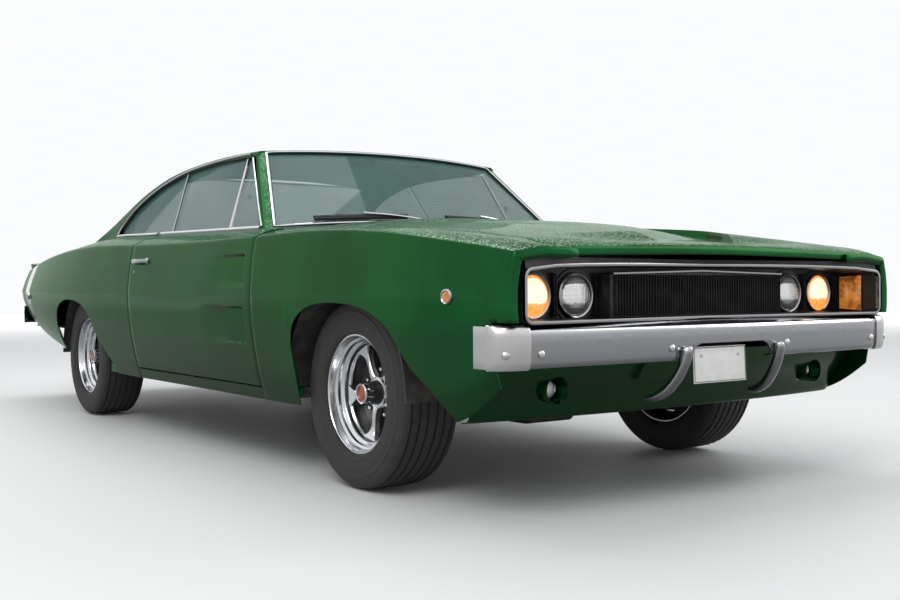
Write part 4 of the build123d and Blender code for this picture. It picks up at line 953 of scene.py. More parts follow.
def side_sheet(name: str, side: int, columns: Sequence[Column], lower: Sequence[float], upper: Sequence[int],
               press: Callable[[float, float], float] | None = None) -> Any:
    """A panel of the body side.

    Args:
        name: the piece's name.
        side: -1 for right, 1 for left.
        columns: its upright lines, each with the height of its foot.
        lower: rows from the foot to the crease, as shares or, over 1, as heights.
        upper: rows from the crease to the top, as sample numbers past the crease.
        press: depth pressed into the skin at a place along the car and height.

    Returns:
        The new sheet.
    """
    lines = []
    for column in columns:
        section = side_section(column.y)
        run = np.gradient(section, axis=0)
        run /= np.linalg.norm(run, axis=1)[:, None]
        shell = section + column.depth * np.stack([-run[:, 1], run[:, 0]], axis=1)
        bottom, crease = section[: 4 * PER + 1], section[4 * PER, 1]
        line = []
        for share in lower:
            z = share if share > 1 else column.foot + share * (crease - column.foot)
            place = np.interp(z, bottom[:, 1], np.arange(len(bottom)))
            line.append((np.interp(place, np.arange(len(shell)), shell[:, 0]), z))
        line += [tuple(shell[4 * PER + k]) for k in upper]
        lines.append(line)

    def point(col: int, row: int) -> Point:
        """Place of one point of the panel."""
        (x, z), y = lines[col][row], columns[col].y
        return side * (x - (press(y, z) if press else 0)), y, z

    return Shop.sheet(name, len(columns), len(lower) + len(upper), point)


def face_out(obj: Any, away: Sequence[float]) -> Any:
    """Turn an open sheet's faces so that most point away from a point in millimetres."""
    mesh = obj.data
    centre = Vector(away) * MM
    lean = sum((p.center - centre).dot(p.normal) * p.area for p in mesh.polygons)
    if lean < 0:
        mesh.flip_normals()
    return obj


@dataclass
class BodySides:
    """Front fenders, doors, quarter panels and sills of both sides."""

    wall: float = 13.0
    edge: float = 1.4
    door_foot: float = 322
    trim_x: float = 778
    trim_range: tuple[float, float] = (784.0, 920.0)
    blade: float = 36.0
    arch_rear: float = 311.0
    step: float = 24.0
    press_front_y: float = DOOR_FRONT_Y + 66
    press_length: float = 430.0
    press_depth: float = 15.0
    presses: Outline = ((484, 632), (712, 838))

    def build(self) -> None:
        """Build the panels of both sides."""
        for side_name, side in SIDES.items():
            self.fender(side_name, side)
            self.door(side_name, side)
            self.quarter(side_name, side)
        self.rockers()

    def arch_columns(self, axle: float, front: float, rear: float) -> list[Column]:
        """Upright lines of a panel with a wheel opening.

        Args:
            axle: place of the axle.
            front, rear: ends of the panel.

        Returns:
            Columns from front to rear.
        """
        opening = [(axle + dy, z) for dy, z in ARCH[::3]]
        ahead = [Column(y, SILL_Z(y)) for y in spread([front, opening[0][0] - 4], self.step)]
        over = [Column(y, z) for y, z in opening]
        heel = axle + self.arch_rear
        behind = [Column(y, SILL_Z(y)) for y in spread([heel, heel + 3, rear], self.step)]
        return ahead + over + behind

    def fender(self, side_name: str, side: int) -> None:
        """Front fender with its nose blade, which turns back beside the lamps."""
        front = FENDER_FRONT_Y
        columns = self.arch_columns(FRONT_AXLE_Y, front + 9, DOOR_FRONT_Y - GAP / 2)
        nose = [Column(front + y, 470, depth) for y, depth in (
            (150, self.blade), (80, self.blade), (14, self.blade), (6, self.blade - 3), (1.5, self.blade - 9),
            (0, self.blade - 16), (0, 16), (1.5, 9), (4, 4), (6.5, 1.2))]
        sheet = side_sheet(f"fender_{side_name}", side, nose + columns, LOWER, UPPER)
        Shop.thicken(face_out(sheet, (0, -1700, 600)), 4)
        Shop.cut(sheet, Shop.box("bumper_room", (-1100, NOSE_Y - 50, 380), (1100, NOSE_Y + 104, 598)))
        Shop.bevel(sheet, self.edge, 2, 50)
        Shop.dress(sheet, "body_paint", replaces=[f"front_fender_{side_name}"])

    def door_press(self, y: float, z: float) -> float:
        """Depth of the two long recesses pressed into the front of a door."""
        run = (y - self.press_front_y) / self.press_length
        if not 0 < run < 1:
            return 0.0
        fade = (1 - run) ** 1.4
        start = min(1.0, (y - self.press_front_y) / 5)
        for low, high in self.presses:
            if low < z < high:
                edge = min(1.0, (z - low) / 7, (high - z) / 7)
                return self.press_depth * fade * start * edge
        return 0.0

    def door(self, side_name: str, side: int) -> None:
        """Door skin with its recesses, hem, and trimmed inner panel."""
        marks = [DOOR_FRONT_Y + GAP / 2, self.press_front_y - 6, self.press_front_y, self.press_front_y + 8,
                 self.press_front_y + 40, DOOR_REAR_Y - GAP / 2]
        columns = [Column(y, self.door_foot) for y in spread(marks, 30)]
        sheet = side_sheet(f"door_skin_{side_name}", side, columns, DOOR_LOWER, DOOR_UPPER, self.door_press)
        Shop.thicken(face_out(sheet, (0, -400, 600)), self.wall)
        Shop.bevel(sheet, self.edge, 2, 60)
        Shop.dress(sheet, "body_paint", f"door_{side_name}", replaces=[f"door_{side_name}"])
        shell = self.door_shell(side_name, side)
        Shop.dress(shell, "cabin_plastic", f"door_{side_name}", angle=Finish.CRISP)

    def door_shell(self, side_name: str, side: int) -> Any:
        """Inner half of a door: trim panel with arm rest, winder and handle."""
        levels = [332, 400, 480, 560, 632, 700, 760, 820, 870, 905]

        def hoop(y: float) -> list[Point]:
            """Section of the inner panel, whose outer side follows the skin."""
            section, top = side_section(y), belt_z(y) - 12
            heights = [min(level, top) for level in levels]
            skin = np.interp(heights, section[: 7 * PER, 1], section[: 7 * PER, 0])
            xs = np.clip(skin - self.wall - self.press_depth, *self.trim_range)
            outer = [(side * x, y, z) for x, z in zip(xs, heights)]
            return [(side * self.trim_x, y, levels[0]), *outer, (side * self.trim_x, y, top)]

        places = spread([DOOR_FRONT_Y + 12, DOOR_REAR_Y - 16], 60)
        panel = Shop.bevel(Shop.tube(f"door_trim_{side_name}", [hoop(y) for y in places]), 4, 2, 60)
        rest = Shop.box("arm_rest", (-1, -430, 640), (1, 60, 700))
        for vertex in rest.data.vertices:
            vertex.co.x = side * (0.722 if vertex.co.x * side < 0 else 0.780)
        Shop.bevel(rest, 16, 4, 40)
        winder = Shop.rod("winder", (side * 776, -560, 600), (side * 752, -560, 600), 12)
        arm = Shop.rod("winder_arm", (side * 754, -560, 600), (side * 748, -470, 622), 7)
        knob = Shop.rod("winder_knob", (side * 750, -470, 622), (side * 722, -470, 622), 11)
        for piece in (rest, winder, arm, knob):
            Shop.weld(piece, fill=False)
        return Shop.join(f"door_trim_{side_name}", panel, rest, winder, arm, knob)

    def quarter(self, side_name: str, side: int) -> None:
        """Quarter panel with its wheel opening, running to the tail."""
        columns = self.arch_columns(REAR_AXLE_Y, DOOR_REAR_Y + GAP / 2, QUARTER_END_Y + 18)
        sheet = side_sheet(f"quarter_{side_name}", side, columns, LOWER, UPPER)
        Shop.thicken(face_out(sheet, (0, 1300, 600)), 5)
        Shop.bevel(sheet, self.edge, 2, 50)
        Shop.dress(sheet, "banded_paint", replaces=[f"quarter_panel_{side_name}"])

    def rockers(self) -> None:
        """Sills under the doors and inside the quarter panels, closed boxes."""
        halves = []
        for side in SIDES.values():
            shown, hidden = [], []
            for y in spread([DOOR_FRONT_Y - GAP / 2 + 4, DOOR_REAR_Y + GAP / 2 - 4], 60):
                section = side_section(y)
                lean = float(np.interp(316, section[:40, 1], section[:40, 0]))
                ring = [(SILL_X(y), 270), (lean, 315), (lean - 6, 317), (738, 317), (736, 315), (736, 270),
                        (738, 268), (SILL_X(y) - 4, 268)]
                shown.append([(side * x, y, z) for x, z in ring])
            for y in spread([DOOR_REAR_Y + GAP / 2, REAR_AXLE_Y - 470], 60):
                ring = [(SILL_X(y) - 22, 270), (SILL_X(y) - 22, 315), (736, 315), (736, 270)]
                hidden.append([(side * x, y, z) for x, z in ring])
            halves += [Shop.tube("rocker", shown), Shop.tube("rocker_rear", hidden)]
        Shop.dress(Shop.join("rocker_panels_skin", *halves), "body_paint", replaces=["rocker_panels"])


@dataclass
class Hood:
    """Hood with its crown, two long scallops and the lip over the grille."""

    crown_line: Outline = ((-2602, 6), (-2592, 11), (-2575, 18), (-2545, 26), (-2510, 31), (-2230, 33),
                           (-1980, 40), (-1500, 53), (-1136, 62))
    lip: float = 26.0
    depth: float = 17.0
    drop_line: Outline = ((-2595, 0), (-2580, 3), (-2550, 17), (-2480, 31), (-2350, 33), (-2230, 27),
                          (-2080, 14), (-1930, 4), (-1850, 0))
    tip_y: float = FRONT_AXLE_Y - 794
    end_y: float = FRONT_AXLE_Y + 262

    def crown(self, y: float) -> float:
        """Rise of the middle over the edges."""
        return float(np.interp(y, *zip(*self.crown_line)))

    def inner_x(self, y: float) -> float:
        """Inboard line of a scallop."""
        return float(np.interp(y, [self.tip_y, -2229, -1929, -1450], [168, 206, 262, 262]))

    def outer_x(self, y: float) -> float:
        """Outboard line of a scallop."""
        return float(np.interp(y, [self.tip_y, self.tip_y + 120, -2229, -1886, -1450],
                               [184, 268, 348, 420, 434]))

    def height(self, x: float, y: float) -> float:
        """Height of the hood's surface before its scallops."""
        edge = fender_gap_x(y)
        return FENDER_TOP_Z(y) + self.crown(y) * math.cos(math.pi / 2 * min(1.0, abs(x) / edge))

    def drop(self, y: float) -> float:
        """Depth of the middle panel under the outer ones."""
        return float(np.interp(y, *zip(*self.drop_line)))

    def sunk(self, y: float) -> float:
        """Further depth of the scallops' floors."""
        ahead = max(0.0, min(1.0, (y + 2330) / 430)) ** 0.8
        behind = max(0.0, min(1.0, (self.end_y - y) / 26))
        return self.depth * ahead * behind

    def build(self) -> None:
        """Build the skin with its lip and the stiffened underside."""
        rows = spread([HOOD_FRONT_Y + 6, HOOD_FRONT_Y + 16, HOOD_FRONT_Y + 28, HOOD_FRONT_Y + 58, self.tip_y,
                       self.end_y - 26, self.end_y, HOOD_REAR_Y], 22)
        lip = [(HOOD_FRONT_Y + 60, -self.lip), (HOOD_FRONT_Y + 5, -self.lip),
               (HOOD_FRONT_Y + 1, 3 - self.lip), (HOOD_FRONT_Y, -19), (HOOD_FRONT_Y, -8),
               (HOOD_FRONT_Y + 1.5, -3.5), (HOOD_FRONT_Y + 3.5, -1.2)]
        lines = [(y, drop, 1.0) for y, drop in lip] + [(y, 0.0, 0.0) for y in rows]
        half = self.half_columns()
        columns = [(-share, kind) for share, kind in reversed(half)] + half[1:]

        def point(column: tuple[float, str], line: Point) -> Point:
            """Place of one point of the hood, whose lip is swept back a little."""
            (share, kind), (y, drop, vee) = column, line
            x, sunk = self.across(abs(share), kind, y)
            return math.copysign(x, share), y, self.height(x, y) - sunk + drop - vee * 3.0 * x / 700

        skin = Shop.skin("hood_skin", columns, lines, point, (0, -1850, 200), 3)
        Shop.bevel(skin, 1.2, 2, 60)
        Shop.dress(skin, "body_paint", "hood", replaces=["hood"])
        self.underside()

    def half_columns(self) -> list[tuple[float, str]]:
        """Shares of a half width, by the zone that they lie in."""
        middle = [(k / 9, "middle") for k in range(10)]
        floor = [(k / 6, "floor") for k in range(1, 6)]
        wall = [(0.001, "foot"), (0.4, "wall"), (1.0, "wall"), (0.01, "rim")]
        outer = [(k / 10, "outer") for k in range(1, 11)]
        return middle + floor + wall + outer

    def across(self, share: float, kind: str, y: float) -> tuple[float, float]:
        """Distance from the middle and depth of a column at a place along the hood.

        Args:
            share: place within its zone.
            kind: the zone.
            y: place along the hood.

        Returns:
            Distance from the middle and how far the skin is pressed down.
        """
        inner, outer, edge = self.inner_x(y), self.outer_x(y), fender_gap_x(y) - GAP
        floor_end = outer - 7
        depth = self.sunk(y)
        if kind == "middle":
            x, step, floor = inner * share, 1.0, 0.0
        elif kind == "floor":
            x, step, floor = inner + (floor_end - inner) * share, 1.0, min(1.0, share * 1.15)
        elif kind == "foot":
            x, step, floor = floor_end, 1.0, 1.0
        elif kind == "wall":
            x, step, floor = floor_end + 7 * share, 1 - share, 1 - share
        elif kind == "rim":
            x, step, floor = outer + 3, 0.0, 0.0
        else:
            x, step, floor = outer + 3 + (edge - outer - 3) * share, 0.0, 0.0
        sharp = max(0.0, min(1.0, (y - self.tip_y) / 60))
        soft = max(0.0, 1 - (x / 620) ** 2)
        return x, self.drop(y) * (sharp * step + (1 - sharp) * soft) + depth * floor

    def underside(self) -> None:
        """Braced inner panel, a sheet with four pressed bays."""
        half = 720

        def point(across: float, y: float) -> Point:
            """Place of one point of the inner panel."""
            bay = abs(math.sin(across / half * math.pi) * math.sin((y + 1850) / 620 * math.pi)) ** 0.4
            x = across / half * (fender_gap_x(y) - 34)
            return x, y, self.height(x, y) - self.drop(y) - self.sunk(y) - 8 - 14 * (1 - bay)

        rows = spread([HOOD_FRONT_Y + 90, HOOD_REAR_Y - 30], 40)
        inner = Shop.skin("hood_inner", spread([-half, half], 40), rows, point, (0, -1850, 200), 2)
        Shop.dress(inner, "body_paint", "hood")


HOOD = Hood()
GLASS_ORIGIN = np.array([0.0, -882.0, 950.0])
GLASS_ALONG = np.array([0.0, 427.0, 368.0]) / math.hypot(427.0, 368.0)
GLASS_OUT = np.array([0.0, -368.0, 427.0]) / math.hypot(427.0, 368.0)


def glass_point(x: float, rise: float, lift: float = 0.0) -> np.ndarray:
    """Point of the windshield.

    Args:
        x: place across the car.
        rise: distance up the glass from its origin.
        lift: distance out of the glass.

    Returns:
        The point in millimetres.
    """
    bulge = 95 * (1 - (x / 827) ** 2)
    return GLASS_ORIGIN + GLASS_ALONG * rise + GLASS_OUT * (bulge + lift) + np.array([x, 0, 0])


def roof_z(x: float, y: float) -> float:
    """Height of the roof skin."""
    edge = RIDGE_X(y)
    return CROWN_Z(y) - (CROWN_Z(y) - RIDGE_Z(y)) * (abs(x) / edge) ** 2.2


def glass_foot(x: float) -> float:
    """Distance up the glass at which it meets the cowl."""
    z = 958 + 34 * (1 - (x / 767) ** 2)
    return (z - glass_point(x, 0)[2]) / GLASS_ALONG[2]


def glass_head(x: float) -> float:
    """Distance up the glass at which it meets the roof's front edge."""
    low, high = 300.0, 700.0
    for _ in range(30):
        middle = (low + high) / 2
        _, y, z = glass_point(x, middle)
        low, high = (middle, high) if z < roof_z(x, y) - 6 else (low, middle)
    return low


def glass_half(rise: float) -> float:
    """Half width of the windshield at a distance up the glass."""
    return 767 - (767 - 608) * rise / 555


@dataclass
class Greenhouse:
    """Roof with its sail panels, pillars and rear deck, and the cowl."""

    roof_end_y: float = 530.0
    tunnel_x: float = 560.0
    corner_x: float = 600.0
    sail_end_y: float = 1576.0
    wall: float = 14.0
    window_end_y: float = 926.0
    glass_top_z: float = 1290.0
    glass_base_y: float = 1490.0
    glass_base_z: float = 948.0

    def build(self) -> None:
        """Build the roof skin, sails, pillars, tunnel walls, upper deck, cowl and headliner."""
        pieces = [self.roof()]
        for side in SIDES.values():
            pieces += [self.sail(side), self.pillar(side), self.tunnel_wall(side)]
        skin = Shop.weld(Shop.join("roof_skin", *pieces), fill=False)
        Shop.dress(skin, "body_paint", replaces=["roof_panel"])
        Shop.dress(self.deck(), "body_paint")
        self.cowl()
        self.headliner()

    def window_top(self, y: float) -> float:
        """Height of the roof side's lower edge: window top, then the quarter panel."""
        if y < self.window_end_y:
            places = [-470, -118, 286, 558, 805, 880, 912, 926]
            return float(np.interp(y, places, [1293, 1303, 1284, 1232, 1138, 1082, 1046, 1014]))
        return QUARTER_TOP_Z(y) - 2

    def flank(self, y: float) -> Outline:
        """Section of one side of the roof, from its lower edge over the ridge to the tunnel line."""
        low = self.window_top(y)
        foot = (QUARTER_TOP_X(y) + 1, low) if y > self.window_end_y else (side_line_x(low), low)
        ridge = (RIDGE_X(y), RIDGE_Z(y))
        mid = ((foot[0] + ridge[0]) / 2 + 4, (foot[1] + ridge[1]) / 2)
        brow = ridge[0] * 0.965
        inner = [(x, roof_z(x, y)) for x in (brow, (brow + self.tunnel_x) / 2, self.tunnel_x)]
        return smooth_path([foot, mid, ridge, *inner], 8, 3)

    def roof(self) -> Any:
        """Roof skin between the windshield and the rear window, sides included."""
        shares = spread([0, 1], 0.035)
        flank = len(self.flank(0.0))
        middle = spread([self.tunnel_x, -self.tunnel_x], 56)[1:-1]

        def point(col: int, row: int) -> Point:
            """Place of one point of the roof."""
            share = shares[col]
            if flank <= row < flank + len(middle):
                x = middle[row - flank]
                start = float(glass_point(x, glass_head(x) + 4)[1])
                y = start + (self.roof_end_y - start) * share
                return x, y, roof_z(x, y)
            side = 1 if row < flank else -1
            step = row if side > 0 else 2 * flank + len(middle) - 1 - row
            edge = float(glass_point(self.corner_x, glass_head(self.corner_x) + 4)[1])
            inner = float(glass_point(self.tunnel_x, glass_head(self.tunnel_x) + 4)[1])
            start = edge + (inner - edge) * max(0.0, (step - 24) / (flank - 25))
            y = start + (self.roof_end_y - start) * share
            x, z = self.flank(y)[step]
            return side * x, y, z

        sheet = Shop.sheet("roof", len(shares), 2 * flank + len(middle), point)
        return Shop.thicken(face_out(sheet, (0, 0, 0)), self.wall)

    def sail(self, side: int) -> Any:
        """Sail panel beside the rear window, down to the deck."""
        places = spread([self.roof_end_y, self.window_end_y - 2, self.window_end_y + 2, self.sail_end_y], 24)
        lines = [self.flank(y) for y in places]
        sheet = Shop.sheet("sail", len(places), len(lines[0]),
                           lambda col, row: (side * lines[col][row][0], places[col], lines[col][row][1]))
        return Shop.thicken(face_out(sheet, (0, 1000, 0)), self.wall)

    def pillar(self, side: int) -> Any:
        """Windshield pillar, from the cowl to the roof."""
        def point(share: float, part: float) -> Point:
            """Place of one point of the pillar."""
            rise = -70 + (glass_head(self.corner_x) + 66) * share
            front = glass_point(glass_half(rise) - 2, rise, 2)
            z = front[2] - 8
            rear = np.array([side_line_x(z), front[1] + 26 + 22 * (1 - share), z])
            outer = front + (rear - front) * part
            bow = 4 * part * (1 - part) * 9
            return side * (outer[0] + bow), outer[1] - bow * 0.6, outer[2]

        shares, parts = [k / 16 for k in range(17)], [k / 6 for k in range(7)]
        return Shop.skin("pillar", shares, parts, point, (0, -600, 1000), 22)

    def tunnel_wall(self, side: int) -> Any:
        """Inner wall of a sail panel, down to the rear window and the deck."""
        def point(y: float, row: int) -> Point:
            """Place of one point of the wall."""
            top = roof_z(self.tunnel_x, y)
            low = min(top - 4, self.glass_z(y) - 16)
            return side * (self.tunnel_x - 1.5 * row), y, top + (low - top) * row / 4

        places = spread([self.roof_end_y, self.glass_base_y, self.sail_end_y], 40)
        return Shop.skin("tunnel_wall", places, range(5), point, (side * 2000, 1000, 1100), 10)

    def glass_z(self, y: float) -> float:
        """Height of the rear window at a place along the car."""
        share = (y - self.roof_end_y) / (self.glass_base_y - self.roof_end_y)
        return self.glass_top_z + (self.glass_base_z - self.glass_top_z) * min(1.0, share)

    def deck(self) -> Any:
        """Panel between the rear window and the deck lid."""
        def point(width: float, y: float) -> Point:
            """Place of one point of the panel."""
            return width * (QUARTER_TOP_X(y) - 6), y, QUARTER_TOP_Z(y) + 12 * (1 - width ** 2) - 3

        places = spread([self.glass_base_y + 4, DECK_FRONT_Y - GAP], 24)
        return Shop.skin("upper_deck", spread([-1, 1], 0.07), places, point, (0, 1500, 0), 12)

    def cowl(self) -> None:
        """Cowl between hood and windshield, with a row of air slots as dark blocks, painted shade inside the
        openings.
        """
        def point(width: float, row: int) -> Point:
            """Place of one point of the cowl."""
            x, share = width * 768, row / 8
            glass = glass_point(x, glass_foot(x) - 10)
            front = HOOD_REAR_Y + 4
            y = front + (glass[1] - front) * share
            start = HOOD.height(x, HOOD_REAR_Y) - 16
            return x, y, start + (glass[2] - 2 - start) * share ** 1.3

        sheet = Shop.skin("cowl_skin", spread([-1, 1], 0.05), range(9), point, (0, -1050, 0), 4)
        Shop.dress(sheet, "body_paint")
        # painted shade: the air slots are dark rubber blocks that stand in for the shade inside the openings
        slots = []
        for k in range(26):
            x = -500 + 40 * k
            z = HOOD.height(x, HOOD_REAR_Y) - 14
            slots.append(Shop.box("slot", (x - 3, HOOD_REAR_Y + 20, z - 3), (x + 3, HOOD_REAR_Y + 80, z + 4)))
        Shop.dress(Shop.join("cowl_slots", *slots), "seal_rubber")

    def headliner(self) -> None:
        """Lining under the roof."""
        def point(width: float, y: float) -> Point:
            """Place of one point of the lining."""
            x = width * (RIDGE_X(y) - 34)
            return x, y, roof_z(x, y) - 30 - 14 * abs(width) ** 6

        rows = spread([-440, self.roof_end_y - 30], 60)
        sheet = Shop.skin("headliner", spread([-1, 1], 0.08), rows, point, (0, 0, 3000), 3)
        Shop.dress(sheet, "headliner")


GREENHOUSE = Greenhouse()


@dataclass
class Tail:
    """Deck lid, tail lip, recessed lamp panel and four round lamps."""

    lamp_z: float = 700.0
    lamp_r: float = 76.0
    lamp_x: tuple[float, ...] = (330, 590)
    panel_y: float = QUARTER_END_Y - 8

    def build(self) -> None:
        """Build the lid, panel and lamps."""
        self.lid()
        self.panel()
        self.lamps()

    def lid(self) -> None:
        """Deck lid with a raised rear lip."""
        def point(width: float, y: float) -> Point:
            """Place of one point of the lid."""
            lift = 10 * max(0.0, (y - DECK_REAR_Y + 160) / 160) ** 2
            return width * (QUARTER_TOP_X(y) - GAP), y, QUARTER_TOP_Z(y) + 15 * (1 - width ** 2) + lift - 2

        rows = spread([DECK_FRONT_Y, DECK_REAR_Y - 60, DECK_REAR_Y], 26)
        sheet = Shop.skin("deck_lid_skin", spread([-1, 1], 0.06), rows, point, (0, 2000, 0), 18)
        Shop.bevel(sheet, 2, 2, 50)
        Shop.dress(sheet, "banded_paint", "deck_lid", replaces=["deck_lid"])

    def outline(self, inset: float) -> Outline:
        """Outline of the tail seen from behind, inside the quarter panels."""
        low, crease, high = LOW_X(QUARTER_END_Y), CREASE_X(QUARTER_END_Y), SHOULDER_X(QUARTER_END_Y)
        right = [(low - 96, 470), (low - 40, 520), (low - 4, 592), (crease, 702), (high + 2, 838),
                 (high - 14, 862)]
        half = [(x - inset, z) for x, z in right]
        return half + [(-x, z) for x, z in reversed(half)]

    def panel(self) -> None:
        """Lamp panel with its lip above and apron below."""
        plate = Shop.prism("tail_panel_skin", [(x, QUARTER_END_Y - 24, z) for x, z in self.outline(6)],
                           (0, 18, 0))
        Shop.bevel(plate, 3, 2, 50)
        rows = [(DECK_REAR_Y + GAP, 0), (QUARTER_END_Y + 12, 9), (QUARTER_END_Y + 22, 8),
                (QUARTER_END_Y + 24, 0), (QUARTER_END_Y + 8, -26), (QUARTER_END_Y - 6, -30),
                (DECK_REAR_Y + GAP, -16)]
        half, top = SHOULDER_X(QUARTER_END_Y) - 12, QUARTER_TOP_Z(DECK_REAR_Y) + 4
        lines = []
        for share in spread([-1, 1], 0.06):
            arch = top + 15 * (1 - share ** 2) - 8 * share ** 4
            lines.append([(share * half, y, arch + drop) for y, drop in rows])
        lip = Shop.tube("tail_lip", lines)
        Shop.dress(Shop.join("tail_panel_skin", plate, lip), "banded_paint", replaces=["tail_panel"])
        inset = [(790, 612), (800, 622), (800, 788), (790, 798)]
        ring = inset + [(-x, z) for x, z in reversed(inset)]
        dark = Shop.prism("tail_recess", [(x, QUARTER_END_Y - 7, z) for x, z in ring], (0, 3, 0))
        Shop.dress(dark, "grille_black", angle=Finish.CRISP)
        trim = Shop.pipe("tail_frame", [(x, QUARTER_END_Y - 2, z) for x, z in ring],
                         [(-4, -6), (4, -6), (5, 0), (4, 6), (-4, 6)], True, (0, 1, 0))
        Shop.dress(trim, "bright_trim")

    def lamps(self) -> None:
        """Round lenses in bright rims."""
        seats = [((side * x, self.panel_y, self.lamp_z), REARWARDS) for side in SIDES.values()
                 for x in self.lamp_x]
        r = self.lamp_r
        lens = [(0, 0.01), (26, 0.01), (25, 14), (21, 18), (24, 30), (22, 50), (16, r - 8), (6, r - 3),
                (0, r - 3)]
        rim = [(0, r - 4), (12, r - 4), (17, r - 1), (17, r + 5), (11, r + 9), (0, r + 9)]
        Shop.turned("tail_lamp_lenses", "lamp_red", [lens], seats, 48, ["tail_lamps"])
        Shop.turned("tail_lamp_rims", "bright_trim", [rim], seats, 48)


def opening_y(x: float) -> float:
    """Place of the grille opening's edge, furthest back in the middle."""
    return NOSE_Y + 31 + 86 * (1 - min(1.0, abs(x) / 846))


@dataclass
class Grille:
    """Black grille with its forward centre, lamp bays, ribs and bright outline."""

    back_y: float = NOSE_Y + 196
    step_y: float = NOSE_Y + 124
    half: float = 846
    step_half: float = 409
    low_z: float = 594
    side_z: float = 753
    rib_pitch: float = 12.4

    def build(self) -> None:
        """Build the bay, ribs and trims."""
        self.bay()
        self.ribs()
        self.trims()

    def top_z(self, x: float) -> float:
        """Height of the opening's upper edge, highest in the middle."""
        heights = [771, 770, 768, 765, 762, 757, self.side_z]
        return float(np.interp(abs(x), [0, 340, 540, 660, 744, 800, 846], heights))

    def ring(self, inset: float, corner: float, back: float) -> list[Point]:
        """Outline of the opening.

        Args:
            inset: distance in from its edge.
            corner: radius of its corners.
            back: distance behind its front edge.

        Returns:
            Points round the opening.
        """
        points = []
        for sx, sz, start in ((1, -1, -90), (1, 1, 0), (-1, 1, 90), (-1, -1, 180)):
            cx = sx * (self.half - inset - corner)
            edge = self.low_z + inset if sz < 0 else self.top_z(self.half) - inset
            cz = edge - sz * corner
            for k in range(7):
                angle = math.radians(start + 15 * k)
                points.append((cx + corner * math.cos(angle), cz + corner * math.sin(angle)))
            if (sx, sz) == (1, 1):
                points += [(x, self.top_z(x) - inset) for x in (720, *range(600, -601, -150), -720)]
            if (sx, sz) == (-1, -1):
                points += [(x, self.low_z + inset) for x in range(-600, 601, 300)]
        return [(x, opening_y(x) + back, z) for x, z in points]

    def bay(self) -> None:
        """Walls and back of the opening, with the forward centre."""
        front, back = self.ring(4, 24, 4), self.ring(10, 20, 0)
        back = [(x, self.back_y, z) for x, _, z in back]
        near, far = np.array(front + front[:1]), np.array(back + back[:1])
        run = (far - near) / 5
        wall = Shop.sheet("bay_wall", len(near), 6, lambda col, row: near[col] + run[col] * row)
        face_out(Shop.weld(wall, fill=False), (0, self.back_y - 80, 672)).data.flip_normals()
        Shop.thicken(wall, 3)
        plate = Shop.prism("bay_back", back, (0, 6, 0))

        def under_hood(x: float, row: int) -> Point:
            """Place of one point of the strip between the opening and the hood."""
            heights = (self.top_z(x) - 2, min(786.0, HOOD.height(x, -2590) - 34), 786.0)
            return x, opening_y(x) + (6, 8, 30)[row], heights[row]

        header = Shop.skin("header", spread([-836, 836], 44), range(3), under_hood, (0, 0, 700), 2)
        step = []
        for y, grow in ((self.back_y - 2, 14), (self.step_y + 16, 4), (self.step_y + 12, 0)):
            half, low, high = self.step_half + grow, 602 - grow / 3, 738 + grow / 3
            step.append([(-half, y, low), (half, y, low), (half, y, high), (0, y, high + 10),
                         (-half, y, high)])
        centre = Shop.weld(Shop.sheet("bay_step", 6, 3, lambda col, row: step[row][col % 5]))
        Shop.bevel(centre, 3, 2, 30)
        Shop.dress(Shop.join("grille_bay", wall, plate, header, centre), "grille_black", angle=Finish.CRISP,
                   replaces=["grille", "grille_surround"])

    def ribs(self) -> None:
        """Fine upright ribs over the centre and between the lamps."""
        places = [(x, self.step_y + 12, 606, 736, 12) for x in
                  np.arange(-self.step_half + 12, self.step_half - 10, self.rib_pitch)]
        for side in SIDES.values():
            places += [(side * x, self.back_y, 606, 742, 20)
                       for x in (426, 436, 600, 609, 776, 788, 800, 812, 824)]
        base = Shop.box("rib", (-1.7, -1, 0), (1.7, 0, 1))
        for vertex in base.data.vertices:
            if vertex.co.y < -0.5 * MM:
                vertex.co.x *= 0.35
        ribs = []
        for x, y, low, high, reach in places:
            size = Matrix.Diagonal((1, reach, high - low, 1))
            ribs.append(Shop.copy(base, "rib", Matrix.Translation(Vector((x, y, low)) * MM) @ size))
        bpy.data.objects.remove(base, do_unlink=True)
        Shop.dress(Shop.join("grille_ribs", *ribs), "bezel_black", angle=Finish.CRISP)

    def trims(self) -> None:
        """Bright outline and the two thin lines of the centre."""
        outline = Shop.pipe("grille_outline", self.ring(2, 26, 0),
                            [(-5, -7), (0, -8.5), (4, -6), (5, 0), (4, 6), (0, 7), (-5, 6)], True, (0, -1, 0))
        y = self.step_y + 2
        lines = []
        for low, high in ((740, 750), (598, 598)):
            path = [(x, y + 3, low + (high - low) * (1 - abs(x) / self.step_half)) for x in
                    (-409, -300, -150, -40, 0, 40, 150, 300, 409)]
            section = [(-2.4, -2), (2.4, -2), (2.4, 2), (-2.4, 2)]
            lines.append(Shop.pipe("centre_line", path, section, False, (0, -1, 0)))
        Shop.dress(Shop.join("grille_trim", outline, *lines), "bright_trim")


